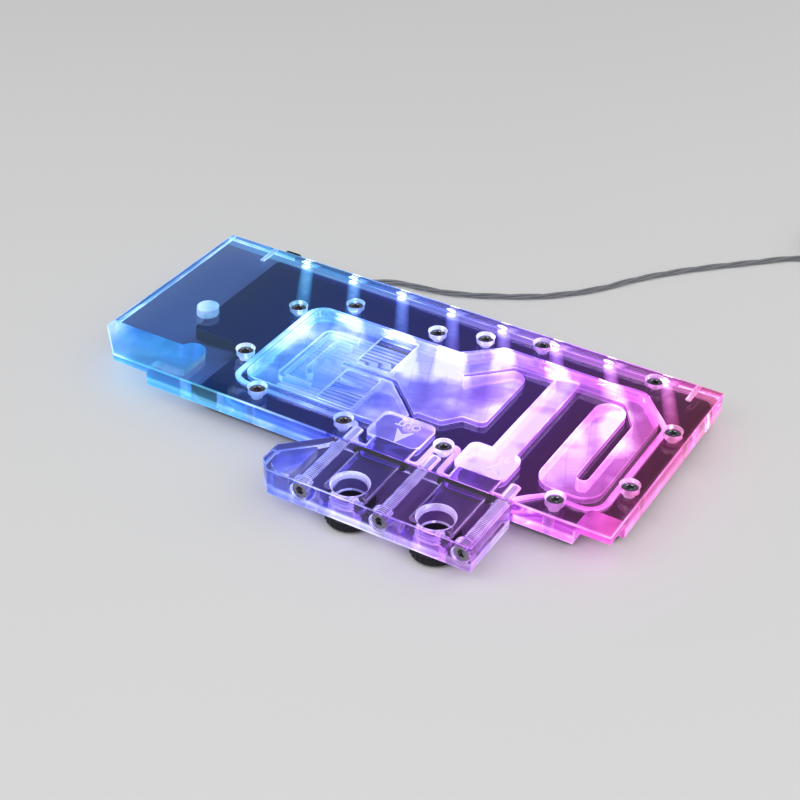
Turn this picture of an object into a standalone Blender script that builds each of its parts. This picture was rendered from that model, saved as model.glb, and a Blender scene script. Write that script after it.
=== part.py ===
"""A full-cover water block for a graphics card, modelled in Blender.

A clear acrylic cover with milled coolant chambers lies on a nickel-plated copper cold plate. A terminal
block with two threaded ports is screwed to its front edge, and a strip of lights shines in through its
far edge.

Sizes are in millimetres and the meshes are made in metres. X runs along the cover, Y from the terminal
block to the lights, and Z up. The layout is measured from the cover's near left corner, and the empty
water_block carries it all to the middle of the block's footprint.
"""

import math

import bmesh
import bpy
from mathutils import Matrix, Vector

MM = 0.001

# What touches in the real block keeps this much air, so that the solids stay apart
FIT = 0.3
ARC_STEP = math.radians(22.5)
OVERSHOOT = 2.0

# Cover
COVER_LENGTH = 236.0
COVER_WIDTH = 105.0
COVER_THICKNESS = 9.4
COVER_CORNER_CUT = 15.5
EDGE_BREAK = 0.4


def from_right(distance):
    """The X of a line that far in from the cover's right end."""
    return COVER_LENGTH - distance


def from_far(distance):
    """The Y of a line that far in from the cover's far edge."""
    return COVER_WIDTH - distance


# The card's layout is fixed from the cover's right end, and the bare left end takes up a change of length
# Cold plate: a base with contact pads that stand proud below it
PLATE_THICKNESS = 6.8
PAD_HEIGHT = 1.6
PLATE_INSET = 3.0
PLATE_LEFT = from_right(208.8)
PLATE_STEP = (from_right(182.0), 39.0)
PLATE_FRONT_INSET = 6.0

# Coolant chambers, as depths below the top of the cover
CHAMBER_CEILING = 3.8
PORT_CEILING = 2.2
WINDOW_CEILING = 2.6
RIB_DEPTH = 2.6
WALL = 2.2

# Fin field over the GPU, between the points of its near left and far right corners
GPU_CENTRE = (from_right(141.0), 47.0)
FIN_FIELD_LENGTH = 38.0
FIN_FIELD_MARGIN = 2.0
FIN_THICKNESS = 1.0
FIN_PITCH = 2.25
FIN_ROOT = 3.0
GPU_PAD = 34.0

# Gasket and its groove in the underside of the cover
GASKET_WIDTH = 1.9
GASKET_HEIGHT = 1.2
GROOVE_DEPTH = GASKET_HEIGHT + FIT

# Cover screws, M4 with socket heads sunk in counterbores
SCREW_SHANK = 4.0
SCREW_HEAD = 6.8
SCREW_HEAD_HEIGHT = 3.8
SCREW_SOCKET = 3.0
SCREW_SOCKET_DEPTH = 2.0
SCREW_SUNK = 1.2
SCREW_INTO_PLATE = 3.8
HEAD_CLEARANCE = 0.35
SCREW_FACETS = 12

# Shelves at the near corners, where the cover is thinned from below to clear the card
SHELF_THICKNESS = 3.3
LEFT_SHELF_DEPTH = 22.0
LEFT_SHELF_LENGTH = 45.5
LEFT_BAR_START = 32.0
LEFT_BAR_DEPTH = 7.2
LEFT_RELIEF = 5.8
RIGHT_SHELF_LENGTH = 14.5
RIGHT_SHELF_DEPTH = 13.0
CLEARANCE_BORE = 9.4
CLEARANCE_BORE_AT = (26.0, 50.4)
CLEARANCE_BORE_ROOF = 1.2

# Terminal block
TERMINAL_RIGHT = from_right(39.0)
TERMINAL_LEFT = from_right(130.2)
TERMINAL_DEPTH = 30.5
TERMINAL_THICKNESS = 11.4
TERMINAL_SLANT = 15.7
TERMINAL_CORNER_CUT = 5.4
TERMINAL_RECESS_WALL = 3.2
PORT_X = (from_right(94.0), from_right(58.0))
PORT_SETBACK = 21.7
PORT_BORE = 13.2
PORT_MOUTH = 14.6
PORT_FACETS = 32
DUCT_WIDTH = 18.5
DUCT_HEIGHT = 4.6
DUCT_DEPTH_BELOW_TOP = 4.9
DUCT_LENGTH = 25.0

# Seals between terminal block and cover
SEAL_CORD = 1.4
SEAL_MARGIN = 0.4

# Terminal screws, M4, along Y
TERMINAL_SCREW_X = (from_right(111.0), from_right(77.0), from_right(43.3))
TERMINAL_SCREW_BELOW_TOP = 5.1
TERMINAL_SCREW_SUNK = 1.0
TERMINAL_SCREW_INTO_COVER = 11.0

# Stop plugs in the lower side of the ports
PLUG_FLANGE = 19.0
PLUG_FLANGE_HEIGHT = 4.0
PLUG_STUB_LENGTH = 4.0
PLUG_KNURLS = 24
PLUG_KNURL_DEPTH = 0.35
PLUG_SOCKET = 8.0
PLUG_SOCKET_DEPTH = 2.0
PLUG_SEAL_CORD = 1.3

# Lighting along the far edge
LIGHT_COUNT = 8
LIGHT_MARGINS = (40.5, 24.7)
LIGHT_SIZE = 3.5
LIGHT_HEIGHT = 1.0
LIGHT_BELOW_TOP = 4.2
BOARD_HEIGHT = 5.0
BOARD_THICKNESS = 0.8
BOARD_ENDS = (19.5, 5.5)
PIN_INSETS = (23.0, 11.0)
PIN_DIAMETER = 1.8
PIN_LENGTH = 10.0
PIN_HEAD = 3.4
PIN_HEAD_HEIGHT = 0.8

# Three-core lead of the lights, as one round bundle
LEAD_DIAMETER = 3.0
SLEEVE_SIZE = (8.0, 3.2, 3.8)
COIL_MEAN_RADIUS = 16.5
COIL_CENTRE = (239.0, 270.0)
COIL_ACROSS = 6.3
TIE_THICKNESS = 1.0
TIE_WIDTH = 4.0
CONNECTOR_SIZE = (14.0, 8.6, 3.4)

# Levels and lines that follow from the sizes above
PLATE_TOP = PLATE_THICKNESS
COVER_BOTTOM = PLATE_TOP + FIT
COVER_TOP = COVER_BOTTOM + COVER_THICKNESS
CHAMBER_TOP = COVER_TOP - CHAMBER_CEILING
PORT_POCKET_TOP = COVER_TOP - PORT_CEILING
GROOVE_TOP = COVER_BOTTOM + GROOVE_DEPTH
HOLE_DIAMETER = SCREW_SHANK + 2 * FIT
COUNTERBORE = SCREW_HEAD + 2 * HEAD_CLEARANCE
COUNTERBORE_FLOOR = COVER_TOP - SCREW_SUNK - SCREW_HEAD_HEIGHT - FIT
TERMINAL_BACK = -FIT
TERMINAL_FRONT = TERMINAL_BACK - TERMINAL_DEPTH
TERMINAL_BOTTOM = COVER_TOP - TERMINAL_THICKNESS
DUCT_MIDDLE = COVER_TOP - DUCT_DEPTH_BELOW_TOP
TERMINAL_SCREW_Z = COVER_TOP - TERMINAL_SCREW_BELOW_TOP
PORT_Y = TERMINAL_BACK - PORT_SETBACK
LIGHT_Z = COVER_TOP - LIGHT_BELOW_TOP
BOARD_FACE = COVER_WIDTH + FIT
PIN_OUTER_END = BOARD_FACE + BOARD_THICKNESS + FIT + PIN_HEAD_HEIGHT
FOOTPRINT_MIDDLE = (COVER_LENGTH / 2, (TERMINAL_FRONT + PIN_OUTER_END) / 2)


# Lines that the chambers, the gasket and the screws share
CHAMBER_LEFT = from_right(170.2)
CHAMBER_NEAR = 18.2
CHAMBER_FAR = from_far(28.8)
BAND_FAR = from_far(16.1)
BAND_NEAR = from_far(24.9)
VRM_FAR = BAND_NEAR - 2.7
VRM_LEFT = from_right(96.0)
VRM_RIGHT = from_right(71.5)
OUTLET_NEAR = 9.5
OUTLET_FAR = 26.3
INLET_FAR = 26.6
LEG_RIGHT = from_right(14.4)
LEG_LEFT = from_right(40.0)
LEG_NEAR = 17.0
GASKET_LEFT = CHAMBER_LEFT - 3.2
GASKET_NEAR = CHAMBER_NEAR - 2.6
GASKET_FAR = CHAMBER_FAR + 2.8
GASKET_BAND = BAND_FAR + 3.0
GASKET_RIGHT = LEG_RIGHT + 3.2
GASKET_FRONT = OUTLET_NEAR - 4.0

COVER_SCREWS = (
    (GASKET_LEFT - 4.2, 31.5),
    (GASKET_LEFT - 4.2, from_far(34.5)),
    (GPU_CENTRE[0] - 17.0, GASKET_NEAR - 4.1),
    (GPU_CENTRE[0] + 23.0, GASKET_NEAR - 4.1),
    (GPU_CENTRE[0] - 17.0, GASKET_FAR + 5.5),
    (GPU_CENTRE[0] + 23.0, GASKET_FAR + 5.5),
    (VRM_LEFT - 3.0, GASKET_FAR + 12.0),
    (TERMINAL_SCREW_X[1], from_far(5.7)),
    (from_right(27.0), from_far(5.7)),
    (from_right(7.0), from_far(34.0)),
    (from_right(7.0), 31.5),
    (from_right(27.0), LEG_NEAR - 6.5),
    (TERMINAL_SCREW_X[1], OUTLET_NEAR + 7.5),
)

GASKET_PATH = (
    (GASKET_LEFT, GASKET_NEAR, 7),
    (PORT_X[0] - 21.4, GASKET_NEAR, 2),
    (PORT_X[0] - 14.7, GASKET_FRONT, 3),
    (TERMINAL_SCREW_X[1] - 4.4, GASKET_FRONT, 2.5),
    (TERMINAL_SCREW_X[1] - 4.4, OUTLET_NEAR + 12.5, 2.5),
    (TERMINAL_SCREW_X[1] + 4.4, OUTLET_NEAR + 12.5, 2.5),
    (TERMINAL_SCREW_X[1] + 4.4, GASKET_FRONT, 2.5),
    (PORT_X[1] + 15.5, GASKET_FRONT, 3),
    (from_right(32.0), LEG_NEAR - 2.5, 3),
    (GASKET_RIGHT, LEG_NEAR - 2.5, 8),
    (GASKET_RIGHT, CHAMBER_FAR - 1.2, 6),
    (from_right(28.0), GASKET_BAND, 5),
    (VRM_LEFT + 6.0, GASKET_BAND, 3),
    (VRM_LEFT - 8.2, GASKET_FAR, 3),
    (GASKET_LEFT, GASKET_FAR, 7),
)


def clear_scene():
    for obj in list(bpy.data.objects):
        bpy.data.objects.remove(obj)


def make_material(name, colour, roughness, metallic=0.0, alpha=1.0):
    material = bpy.data.materials.new(name)
    material.use_nodes = True
    shader = material.node_tree.nodes["Principled BSDF"]
    shader.inputs["Base Color"].default_value = (*colour, 1)
    shader.inputs["Roughness"].default_value = roughness
    shader.inputs["Metallic"].default_value = metallic
    shader.inputs["Alpha"].default_value = alpha
    return material


def rounded(corners):
    """Corners (x, y) or (x, y, radius) as an outline whose corners are arcs."""
    outline = []
    for i, (x, y, *radius) in enumerate(corners):
        here = Vector((x, y))
        if not radius:
            outline.append(here)
            continue
        before = (Vector(corners[i - 1][:2]) - here).normalized()
        after = (Vector(corners[(i + 1) % len(corners)][:2]) - here).normalized()
        half = before.angle(after) / 2
        centre = here + (before + after).normalized() * radius[0] / math.sin(half)
        start = here + before * radius[0] / math.tan(half) - centre
        end = here + after * radius[0] / math.tan(half) - centre
        turn = math.atan2(start.x * end.y - start.y * end.x, start.dot(end))
        steps = max(2, round(abs(turn) / ARC_STEP))
        for step in range(steps + 1):
            outline.append(centre + Matrix.Rotation(turn * step / steps, 2) @ start)
    return outline


def rectangle(left, right, near, far, radius=None):
    corners = ((left, near), (right, near), (right, far), (left, far))
    return [(x, y, radius) for x, y in corners] if radius else list(corners)


def sideways(path, distance, closed):
    """The path moved to its left by a distance, with mitred corners."""
    moved = []
    for i, here in enumerate(path):
        before = here - path[i - 1] if closed or i > 0 else path[1] - here
        after = path[(i + 1) % len(path)] - here if closed or i < len(path) - 1 else before
        normals = [Vector((-d.y, d.x)).normalized() for d in (before, after)]
        mitre = (normals[0] + normals[1]).normalized()
        moved.append(here + mitre * distance / mitre.dot(normals[0]))
    return moved


def finish_mesh(name, bm, smooth):
    bmesh.ops.recalc_face_normals(bm, faces=bm.faces)
    bmesh.ops.scale(bm, vec=(MM, MM, MM), verts=bm.verts)
    mesh = bpy.data.meshes.new(name)
    bm.to_mesh(mesh)
    bm.free()
    if smooth:
        mesh.shade_smooth()
        mesh.set_sharp_from_angle(angle=math.radians(30))
    return mesh


def add_object(name, mesh, origin, material=None, place=(0, 0, 0), turn=(0, 0, 0)):
    """An object on the block's origin, its place in millimetres. With no material it is a cutter."""
    obj = bpy.data.objects.new(name, mesh)
    bpy.context.scene.collection.objects.link(obj)
    obj.parent = origin
    obj.location = Vector(place) * MM
    obj.rotation_euler = turn
    if material:
        if not mesh.materials:
            mesh.materials.append(material)
    else:
        obj.hide_render = True
        obj.display_type = "WIRE"
    return obj


def prism_mesh(name, corners, low, high, smooth=True):
    bm = bmesh.new()
    face = bm.faces.new([bm.verts.new((p.x, p.y, low)) for p in rounded(corners)])
    raised = bmesh.ops.extrude_face_region(bm, geom=[face])["geom"]
    top = [v for v in raised if isinstance(v, bmesh.types.BMVert)]
    bmesh.ops.translate(bm, vec=(0, 0, high - low), verts=top)
    return finish_mesh(name, bm, smooth)


def band_mesh(name, corners, width, low, high, closed=True):
    """A strip of even width along a path, closed into a ring or with two ends."""
    path = rounded(corners)
    if not closed:
        path = [Vector(corners[0][:2])] + path[1:-1] + [Vector(corners[-1][:2])]
    left, right = (sideways(path, side * width / 2, closed) for side in (1, -1))
    bm = bmesh.new()
    loops = [
        [bm.verts.new((p.x, p.y, z)) for p in edge]
        for edge, z in ((left, low), (right, low), (right, high), (left, high))
    ]
    for i in range(len(path) if closed else len(path) - 1):
        following = (i + 1) % len(path)
        for side in range(4):
            a, b = loops[side], loops[(side + 1) % 4]
            bm.faces.new((a[i], a[following], b[following], b[i]))
    if not closed:
        bm.faces.new([loop[0] for loop in loops])
        bm.faces.new([loop[-1] for loop in loops])
    return finish_mesh(name, bm, True)


def ring_of(bm, radius, height, facets, flats=False):
    """A ring of vertices, round or with its points on a hexagon whose flats lie at that radius."""
    ring = []
    for k in range(facets):
        angle = 2 * math.pi * k / facets
        sector = (angle + math.pi / 6) % (math.pi / 3) - math.pi / 6
        reach = radius / math.cos(sector) if flats else radius
        ring.append(bm.verts.new((reach * math.cos(angle), reach * math.sin(angle), height)))
    return ring


def turned(bm, profile, facets):
    """A closed body of rings in order: (radius, height), or (radius, height, True) for a hexagon."""
    rings = [ring_of(bm, *ring[:2], facets, *ring[2:]) for ring in profile]
    for lower, upper in zip(rings, rings[1:]):
        for k in range(facets):
            following = (k + 1) % facets
            bm.faces.new((lower[k], lower[following], upper[following], upper[k]))
    bm.faces.new(rings[0])
    bm.faces.new(rings[-1])
    return [v for ring in rings for v in ring]


def turned_mesh(name, profile, facets, places=((0, 0),)):
    bm = bmesh.new()
    for x, y in places:
        body = turned(bm, profile, facets)
        bmesh.ops.translate(bm, vec=(x, y, 0), verts=body)
    return finish_mesh(name, bm, True)


def torus_mesh(name, centre_line, cord, facets=6):
    """A round cord closed on itself along a flat path."""
    bm = bmesh.new()
    rings = []
    for k in range(facets):
        angle = 2 * math.pi * k / facets
        edge = sideways(centre_line, math.cos(angle) * cord / 2, True)
        rings.append([bm.verts.new((p.x, p.y, math.sin(angle) * cord / 2)) for p in edge])
    for k, ring in enumerate(rings):
        following = rings[(k + 1) % facets]
        for i in range(len(ring)):
            j = (i + 1) % len(ring)
            bm.faces.new((ring[i], ring[j], following[j], following[i]))
    return finish_mesh(name, bm, True)


def circle(radius, facets):
    angles = [2 * math.pi * k / facets for k in range(facets)]
    return [Vector((radius * math.cos(a), radius * math.sin(a))) for a in angles]


def combine(target, operation, *others):
    for other in others:
        modifier = target.modifiers.new(f"{operation.lower()} {other.name}", "BOOLEAN")
        modifier.operation = operation
        modifier.object = other


def coolant_space(origin):
    """The shape of the coolant, which is cut out of the cover: chambers, channels, port pockets and ducts."""
    below = COVER_BOTTOM - OVERSHOOT

    def pocket(name, corners, top):
        return add_object(name, prism_mesh(name, corners, below, top, False), origin)

    gpu_chamber = pocket(
        "gpu_chamber",
        (
            (CHAMBER_LEFT, CHAMBER_NEAR, 6),
            (VRM_LEFT - 9.0, CHAMBER_NEAR),
            (VRM_LEFT - 1.0, OUTLET_FAR + 5.7),
            (VRM_LEFT + 6.0, OUTLET_FAR + 5.7),
            (VRM_LEFT + 6.0, CHAMBER_FAR),
            (CHAMBER_LEFT, CHAMBER_FAR, 6),
        ),
        CHAMBER_TOP,
    )
    vrm_chamber = pocket(
        "vrm_chamber",
        (
            (VRM_LEFT, OUTLET_FAR + 5.7),
            (VRM_LEFT + 9.3, OUTLET_FAR + 5.7, 2),
            (VRM_LEFT + 15.0, OUTLET_FAR + 12.7, 2),
            (VRM_RIGHT, OUTLET_FAR + 12.7, 3),
            (VRM_RIGHT, VRM_FAR, 6),
            (VRM_LEFT, VRM_FAR),
        ),
        CHAMBER_TOP,
    )
    far_band = pocket(
        "far_band",
        (
            (VRM_LEFT - 10.0, CHAMBER_FAR - 14.0),
            (VRM_LEFT + 2.0, CHAMBER_FAR - 14.0),
            (VRM_LEFT + 17.5, BAND_NEAR, 2),
            (from_right(31.0), BAND_NEAR, 3),
            (LEG_RIGHT - 7.9, BAND_NEAR - 12.1),
            (LEG_RIGHT - 7.9, BAND_NEAR - 20.1),
            (LEG_RIGHT, BAND_NEAR - 20.1),
            (LEG_RIGHT, BAND_NEAR - 4.4, 5),
            (from_right(28.0), BAND_FAR, 5),
            (VRM_LEFT + 6.2, BAND_FAR, 3),
            (VRM_LEFT - 6.5, CHAMBER_FAR),
            (VRM_LEFT - 10.0, CHAMBER_FAR - 1.0),
        ),
        CHAMBER_TOP,
    )
    serpentine = pocket(
        "serpentine",
        (
            (LEG_LEFT, LEG_NEAR, 8),
            (LEG_RIGHT, LEG_NEAR, 8),
            (LEG_RIGHT, BAND_NEAR - 18.1),
            (LEG_RIGHT - 7.9, BAND_NEAR - 18.1),
            (LEG_RIGHT - 7.9, LEG_NEAR + 9.7, 2.3),
            (LEG_RIGHT - 12.8, LEG_NEAR + 9.7, 2.3),
            (LEG_RIGHT - 12.8, BAND_NEAR - 3.0, 6),
            (LEG_LEFT, BAND_NEAR - 3.0, 6),
        ),
        CHAMBER_TOP,
    )
    combine(gpu_chamber, "UNION", vrm_chamber, far_band, serpentine)

    def wall(name, corners, low):
        mesh = band_mesh(name, corners, WALL, low, CHAMBER_TOP + OVERSHOOT, closed=False)
        return add_object(name, mesh, origin)

    to_the_plate = below - OVERSHOOT
    flow_divider = wall(
        "flow_divider",
        (
            (GPU_CENTRE[0] + 1.0, GPU_CENTRE[1] - 1.0),
            (GPU_CENTRE[0] + 25.3, GPU_CENTRE[1] - 1.0, 3),
            (VRM_LEFT - 1.5, OUTLET_FAR + 2.4, 2),
            (VRM_LEFT + 2.0, OUTLET_FAR + 2.4),
        ),
        to_the_plate,
    )
    divider_line = ((VRM_LEFT + 1.8, BAND_NEAR - 16.5), (VRM_LEFT + 17.5, BAND_NEAR - 1.0))
    vrm_divider = wall("vrm_divider", divider_line, to_the_plate)
    rib_low = CHAMBER_TOP - RIB_DEPTH
    rib_left = GPU_CENTRE[0] - FIN_FIELD_LENGTH / 2 + 2.6
    outer_rib = wall(
        "outer_rib",
        (
            (rib_left + 14.5, CHAMBER_FAR - 13.7),
            (rib_left, CHAMBER_FAR - 13.7, 2),
            (rib_left, CHAMBER_NEAR + 8.0, 2),
            (rib_left + 14.5, CHAMBER_NEAR + 8.0),
        ),
        rib_low,
    )
    inner_rib = wall(
        "inner_rib",
        (
            (rib_left + 14.0, CHAMBER_FAR - 18.6),
            (rib_left + 7.4, CHAMBER_FAR - 18.6, 2),
            (rib_left + 7.4, CHAMBER_NEAR + 17.8, 1.5),
            (rib_left + 10.6, CHAMBER_NEAR + 14.6),
        ),
        rib_low,
    )
    combine(gpu_chamber, "DIFFERENCE", flow_divider, vrm_divider, outer_rib, inner_rib)

    window_left = GPU_CENTRE[0] + 5.0
    window_right = GPU_CENTRE[0] + 21.0
    window_top = COVER_TOP - WINDOW_CEILING
    windows = [
        pocket(name, rectangle(window_left, window_right, near, far, 1.2), window_top)
        for name, near, far in (
            ("near_window", CHAMBER_NEAR + 1.2, GPU_CENTRE[1] - 3.6),
            ("far_window", GPU_CENTRE[1] + 1.6, CHAMBER_FAR - 3.0),
        )
    ]
    outlet_pocket = pocket(
        "outlet_pocket",
        rectangle(PORT_X[0] - 13.6, PORT_X[0] + 9.4, OUTLET_NEAR, OUTLET_FAR, 3),
        PORT_POCKET_TOP,
    )
    inlet_pocket = pocket(
        "inlet_pocket",
        rectangle(PORT_X[1] - 11.6, PORT_X[1] + 10.0, OUTLET_NEAR, INLET_FAR, 3.5),
        PORT_POCKET_TOP,
    )
    inlet_channel = pocket(
        "inlet_channel",
        rectangle(PORT_X[1] - 3.4, PORT_X[1] + 6.4, INLET_FAR - 5.0, BAND_NEAR + 2.5, 1.5),
        PORT_POCKET_TOP,
    )
    ducts = [cover_duct(origin, x) for x in PORT_X]
    combine(gpu_chamber, "UNION", *windows, outlet_pocket, inlet_pocket, inlet_channel, *ducts)
    return gpu_chamber


def duct_section(extra=0.0):
    """The ducts' rounded section, seen along Y, as corners (x, z, radius)."""
    wide, high = DUCT_WIDTH / 2 + extra, DUCT_HEIGHT / 2 + extra
    return rectangle(-wide, wide, -high, high, min(1.4 + extra, high - 0.1))


def duct_mesh(name, length):
    """A duct that runs along Y from zero, to be placed at its middle height."""
    mesh = prism_mesh(name, duct_section(), 0, length, False)
    mesh.transform(Matrix.Rotation(math.radians(-90), 4, "X"))
    return mesh


def cover_duct(origin, x):
    name = f"cover_duct_{x:.0f}"
    start = -OVERSHOOT
    mesh = duct_mesh(name, OUTLET_NEAR + OVERSHOOT + 3.0)
    return add_object(name, mesh, origin, None, (x, start, DUCT_MIDDLE))


def along_y(bm_profile, name, facets, xs, y, z):
    """Turned bodies whose axes run along +Y from y, at each x and the height z."""
    bm = bmesh.new()
    for x in xs:
        body = turned(bm, bm_profile, facets)
        bmesh.ops.rotate(bm, matrix=Matrix.Rotation(math.radians(-90), 3, "X"), verts=body)
        bmesh.ops.translate(bm, vec=(x, y, z), verts=body)
    return finish_mesh(name, bm, True)


def make_cover(origin, material):
    outline = (
        (COVER_CORNER_CUT, 0),
        (COVER_LENGTH, 0),
        (COVER_LENGTH, COVER_WIDTH),
        (0, COVER_WIDTH),
        (0, COVER_CORNER_CUT),
    )
    mesh = prism_mesh("acrylic_cover", outline, COVER_BOTTOM, COVER_TOP)
    cover = add_object("acrylic_cover", mesh, origin, material)
    bevel = cover.modifiers.new("broken edges", "BEVEL")
    bevel.width = EDGE_BREAK * MM
    bevel.segments = 1

    combine(cover, "DIFFERENCE", coolant_space(origin), *shelf_cuts(origin))
    groove_width = GASKET_WIDTH + 2 * FIT
    groove = band_mesh("gasket_groove", GASKET_PATH, groove_width, COVER_BOTTOM - OVERSHOOT, GROOVE_TOP)
    hole = HOLE_DIAMETER / 2
    sunk = COUNTERBORE / 2
    profile = (
        (hole, COVER_BOTTOM - OVERSHOOT),
        (hole, COUNTERBORE_FLOOR),
        (sunk, COUNTERBORE_FLOOR),
        (sunk, COVER_TOP + OVERSHOOT),
    )
    screw_holes = turned_mesh("cover_screw_holes", profile, SCREW_FACETS, COVER_SCREWS)
    terminal_holes = along_y(
        ((hole, -OVERSHOOT), (hole, TERMINAL_SCREW_INTO_COVER + 1.0)),
        "terminal_screw_holes",
        SCREW_FACETS,
        TERMINAL_SCREW_X,
        0,
        TERMINAL_SCREW_Z,
    )
    cutters = [groove, screw_holes, terminal_holes, light_groove_mesh(), pin_holes_mesh()]
    combine(cover, "DIFFERENCE", *(add_object(cut.name, cut, origin) for cut in cutters))
    return cover


def shelf_cuts(origin):
    """What is milled away below the cover's two near corners, and the clearance bore."""
    low = COVER_BOTTOM - OVERSHOOT
    roof = COVER_TOP - SHELF_THICKNESS
    left = prism_mesh(
        "left_shelf_cut",
        (
            (-OVERSHOOT, -OVERSHOOT),
            (LEFT_BAR_START, -OVERSHOOT),
            (LEFT_BAR_START, LEFT_BAR_DEPTH),
            (LEFT_SHELF_LENGTH, LEFT_BAR_DEPTH, 2),
            (LEFT_SHELF_LENGTH, LEFT_SHELF_DEPTH),
            (-OVERSHOOT, LEFT_SHELF_DEPTH),
        ),
        low,
        roof,
    )
    relief_at = (LEFT_SHELF_LENGTH - LEFT_RELIEF, LEFT_SHELF_DEPTH - 1.8)
    relief = turned_mesh("left_relief", ((LEFT_RELIEF, low), (LEFT_RELIEF, roof)), 20, (relief_at,))
    right = prism_mesh(
        "right_shelf_cut",
        (
            (from_right(RIGHT_SHELF_LENGTH), -OVERSHOOT),
            (COVER_LENGTH + OVERSHOOT, -OVERSHOOT),
            (COVER_LENGTH + OVERSHOOT, RIGHT_SHELF_DEPTH),
            (from_right(RIGHT_SHELF_LENGTH), RIGHT_SHELF_DEPTH, 3),
        ),
        low,
        roof,
    )
    radius = CLEARANCE_BORE / 2
    profile = ((radius, low), (radius, COVER_TOP - CLEARANCE_BORE_ROOF))
    bore = turned_mesh("clearance_bore", profile, 20, (CLEARANCE_BORE_AT,))
    return [add_object(mesh.name, mesh, origin) for mesh in (left, relief, right, bore)]


def board_span():
    return BOARD_ENDS[0], from_right(BOARD_ENDS[1])


def light_places():
    first, last = LIGHT_MARGINS[0], from_right(LIGHT_MARGINS[1])
    return [first + (last - first) * k / (LIGHT_COUNT - 1) for k in range(LIGHT_COUNT)]


def light_groove_mesh():
    """The shallow groove in the far face that the lights stand in."""
    places = light_places()
    half = LIGHT_SIZE / 2 + 1.0
    near = COVER_WIDTH - LIGHT_HEIGHT - FIT
    corners = rectangle(places[0] - 6, places[-1] + 6, near, COVER_WIDTH + OVERSHOOT)
    return prism_mesh("light_groove", corners, LIGHT_Z - half, LIGHT_Z + half)


def pin_places():
    return (PIN_INSETS[0], from_right(PIN_INSETS[1]))


def pin_holes_mesh():
    radius = PIN_DIAMETER / 2 + FIT
    profile = ((radius, 0), (radius, PIN_LENGTH + OVERSHOOT))
    return along_y(profile, "pin_holes", 12, pin_places(), from_far(PIN_LENGTH), LIGHT_Z)


def make_cold_plate(origin, material):
    right, far = from_right(PLATE_INSET + 1.0), from_far(PLATE_INSET)
    notch = from_right(RIGHT_SHELF_LENGTH + 2.5)
    outline = (
        (PLATE_STEP[0], PLATE_FRONT_INSET, 2),
        (notch, PLATE_FRONT_INSET, 2),
        (notch, RIGHT_SHELF_DEPTH + 3.0, 2),
        (right, RIGHT_SHELF_DEPTH + 3.0, 3),
        (right, far, 3),
        (PLATE_LEFT, far, 3),
        (PLATE_LEFT, PLATE_STEP[1], 2),
        (PLATE_STEP[0] - 6.0, PLATE_STEP[1], 4),
        (PLATE_STEP[0], PLATE_STEP[1] - 6.0, 4),
    )
    mesh = prism_mesh("cold_plate", outline, PAD_HEIGHT, PLATE_TOP)
    plate = add_object("cold_plate", mesh, origin, material)

    field = prism_mesh(
        "fin_field",
        rectangle(*fin_field_ends(), *fin_field_sides(), 1.5),
        PLATE_TOP - FIN_ROOT,
        PLATE_TOP + OVERSHOOT,
    )
    profile = (
        (HOLE_DIAMETER / 2, PLATE_TOP - SCREW_INTO_PLATE - FIT),
        (HOLE_DIAMETER / 2, PLATE_TOP + OVERSHOOT),
    )
    holes = turned_mesh("plate_screw_holes", profile, SCREW_FACETS, COVER_SCREWS)
    combine(plate, "DIFFERENCE", *(add_object(cut.name, cut, origin) for cut in (field, holes)))
    combine(plate, "UNION", add_object("fins", fins_mesh(), origin))
    combine(plate, "UNION", *contact_pads(origin))
    standoff_holes = turned_mesh(
        "standoff_holes", ((1.1, -OVERSHOOT), (1.1, PAD_HEIGHT + 1.2)), 10, standoff_places()
    )
    combine(plate, "DIFFERENCE", add_object("standoff_holes", standoff_holes, origin))
    return plate


def fin_field_ends():
    return GPU_CENTRE[0] - FIN_FIELD_LENGTH / 2, GPU_CENTRE[0] + FIN_FIELD_LENGTH / 2


def fin_field_sides():
    return CHAMBER_NEAR + FIN_FIELD_MARGIN, CHAMBER_FAR - FIN_FIELD_MARGIN


def fins_mesh():
    """Upright fins along X, side by side over the fin field, rooted in its floor."""
    near, far = fin_field_sides()
    half_length = FIN_FIELD_LENGTH / 2 - 1.0
    count = int((far - near - 3.0) / FIN_PITCH) + 1
    x = GPU_CENTRE[0]
    first = (near + far) / 2 - FIN_PITCH * (count - 1) / 2
    low = PLATE_TOP - FIN_ROOT - 0.4
    high = PLATE_TOP
    bm = bmesh.new()
    for k in range(count):
        centre = (x, first + k * FIN_PITCH, (low + high) / 2)
        size = (2 * half_length, FIN_THICKNESS, high - low)
        placed = Matrix.Translation(centre) @ Matrix.Diagonal((*size, 1))
        bmesh.ops.create_cube(bm, size=1, matrix=placed)
    return finish_mesh("fins", bm, False)


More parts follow.
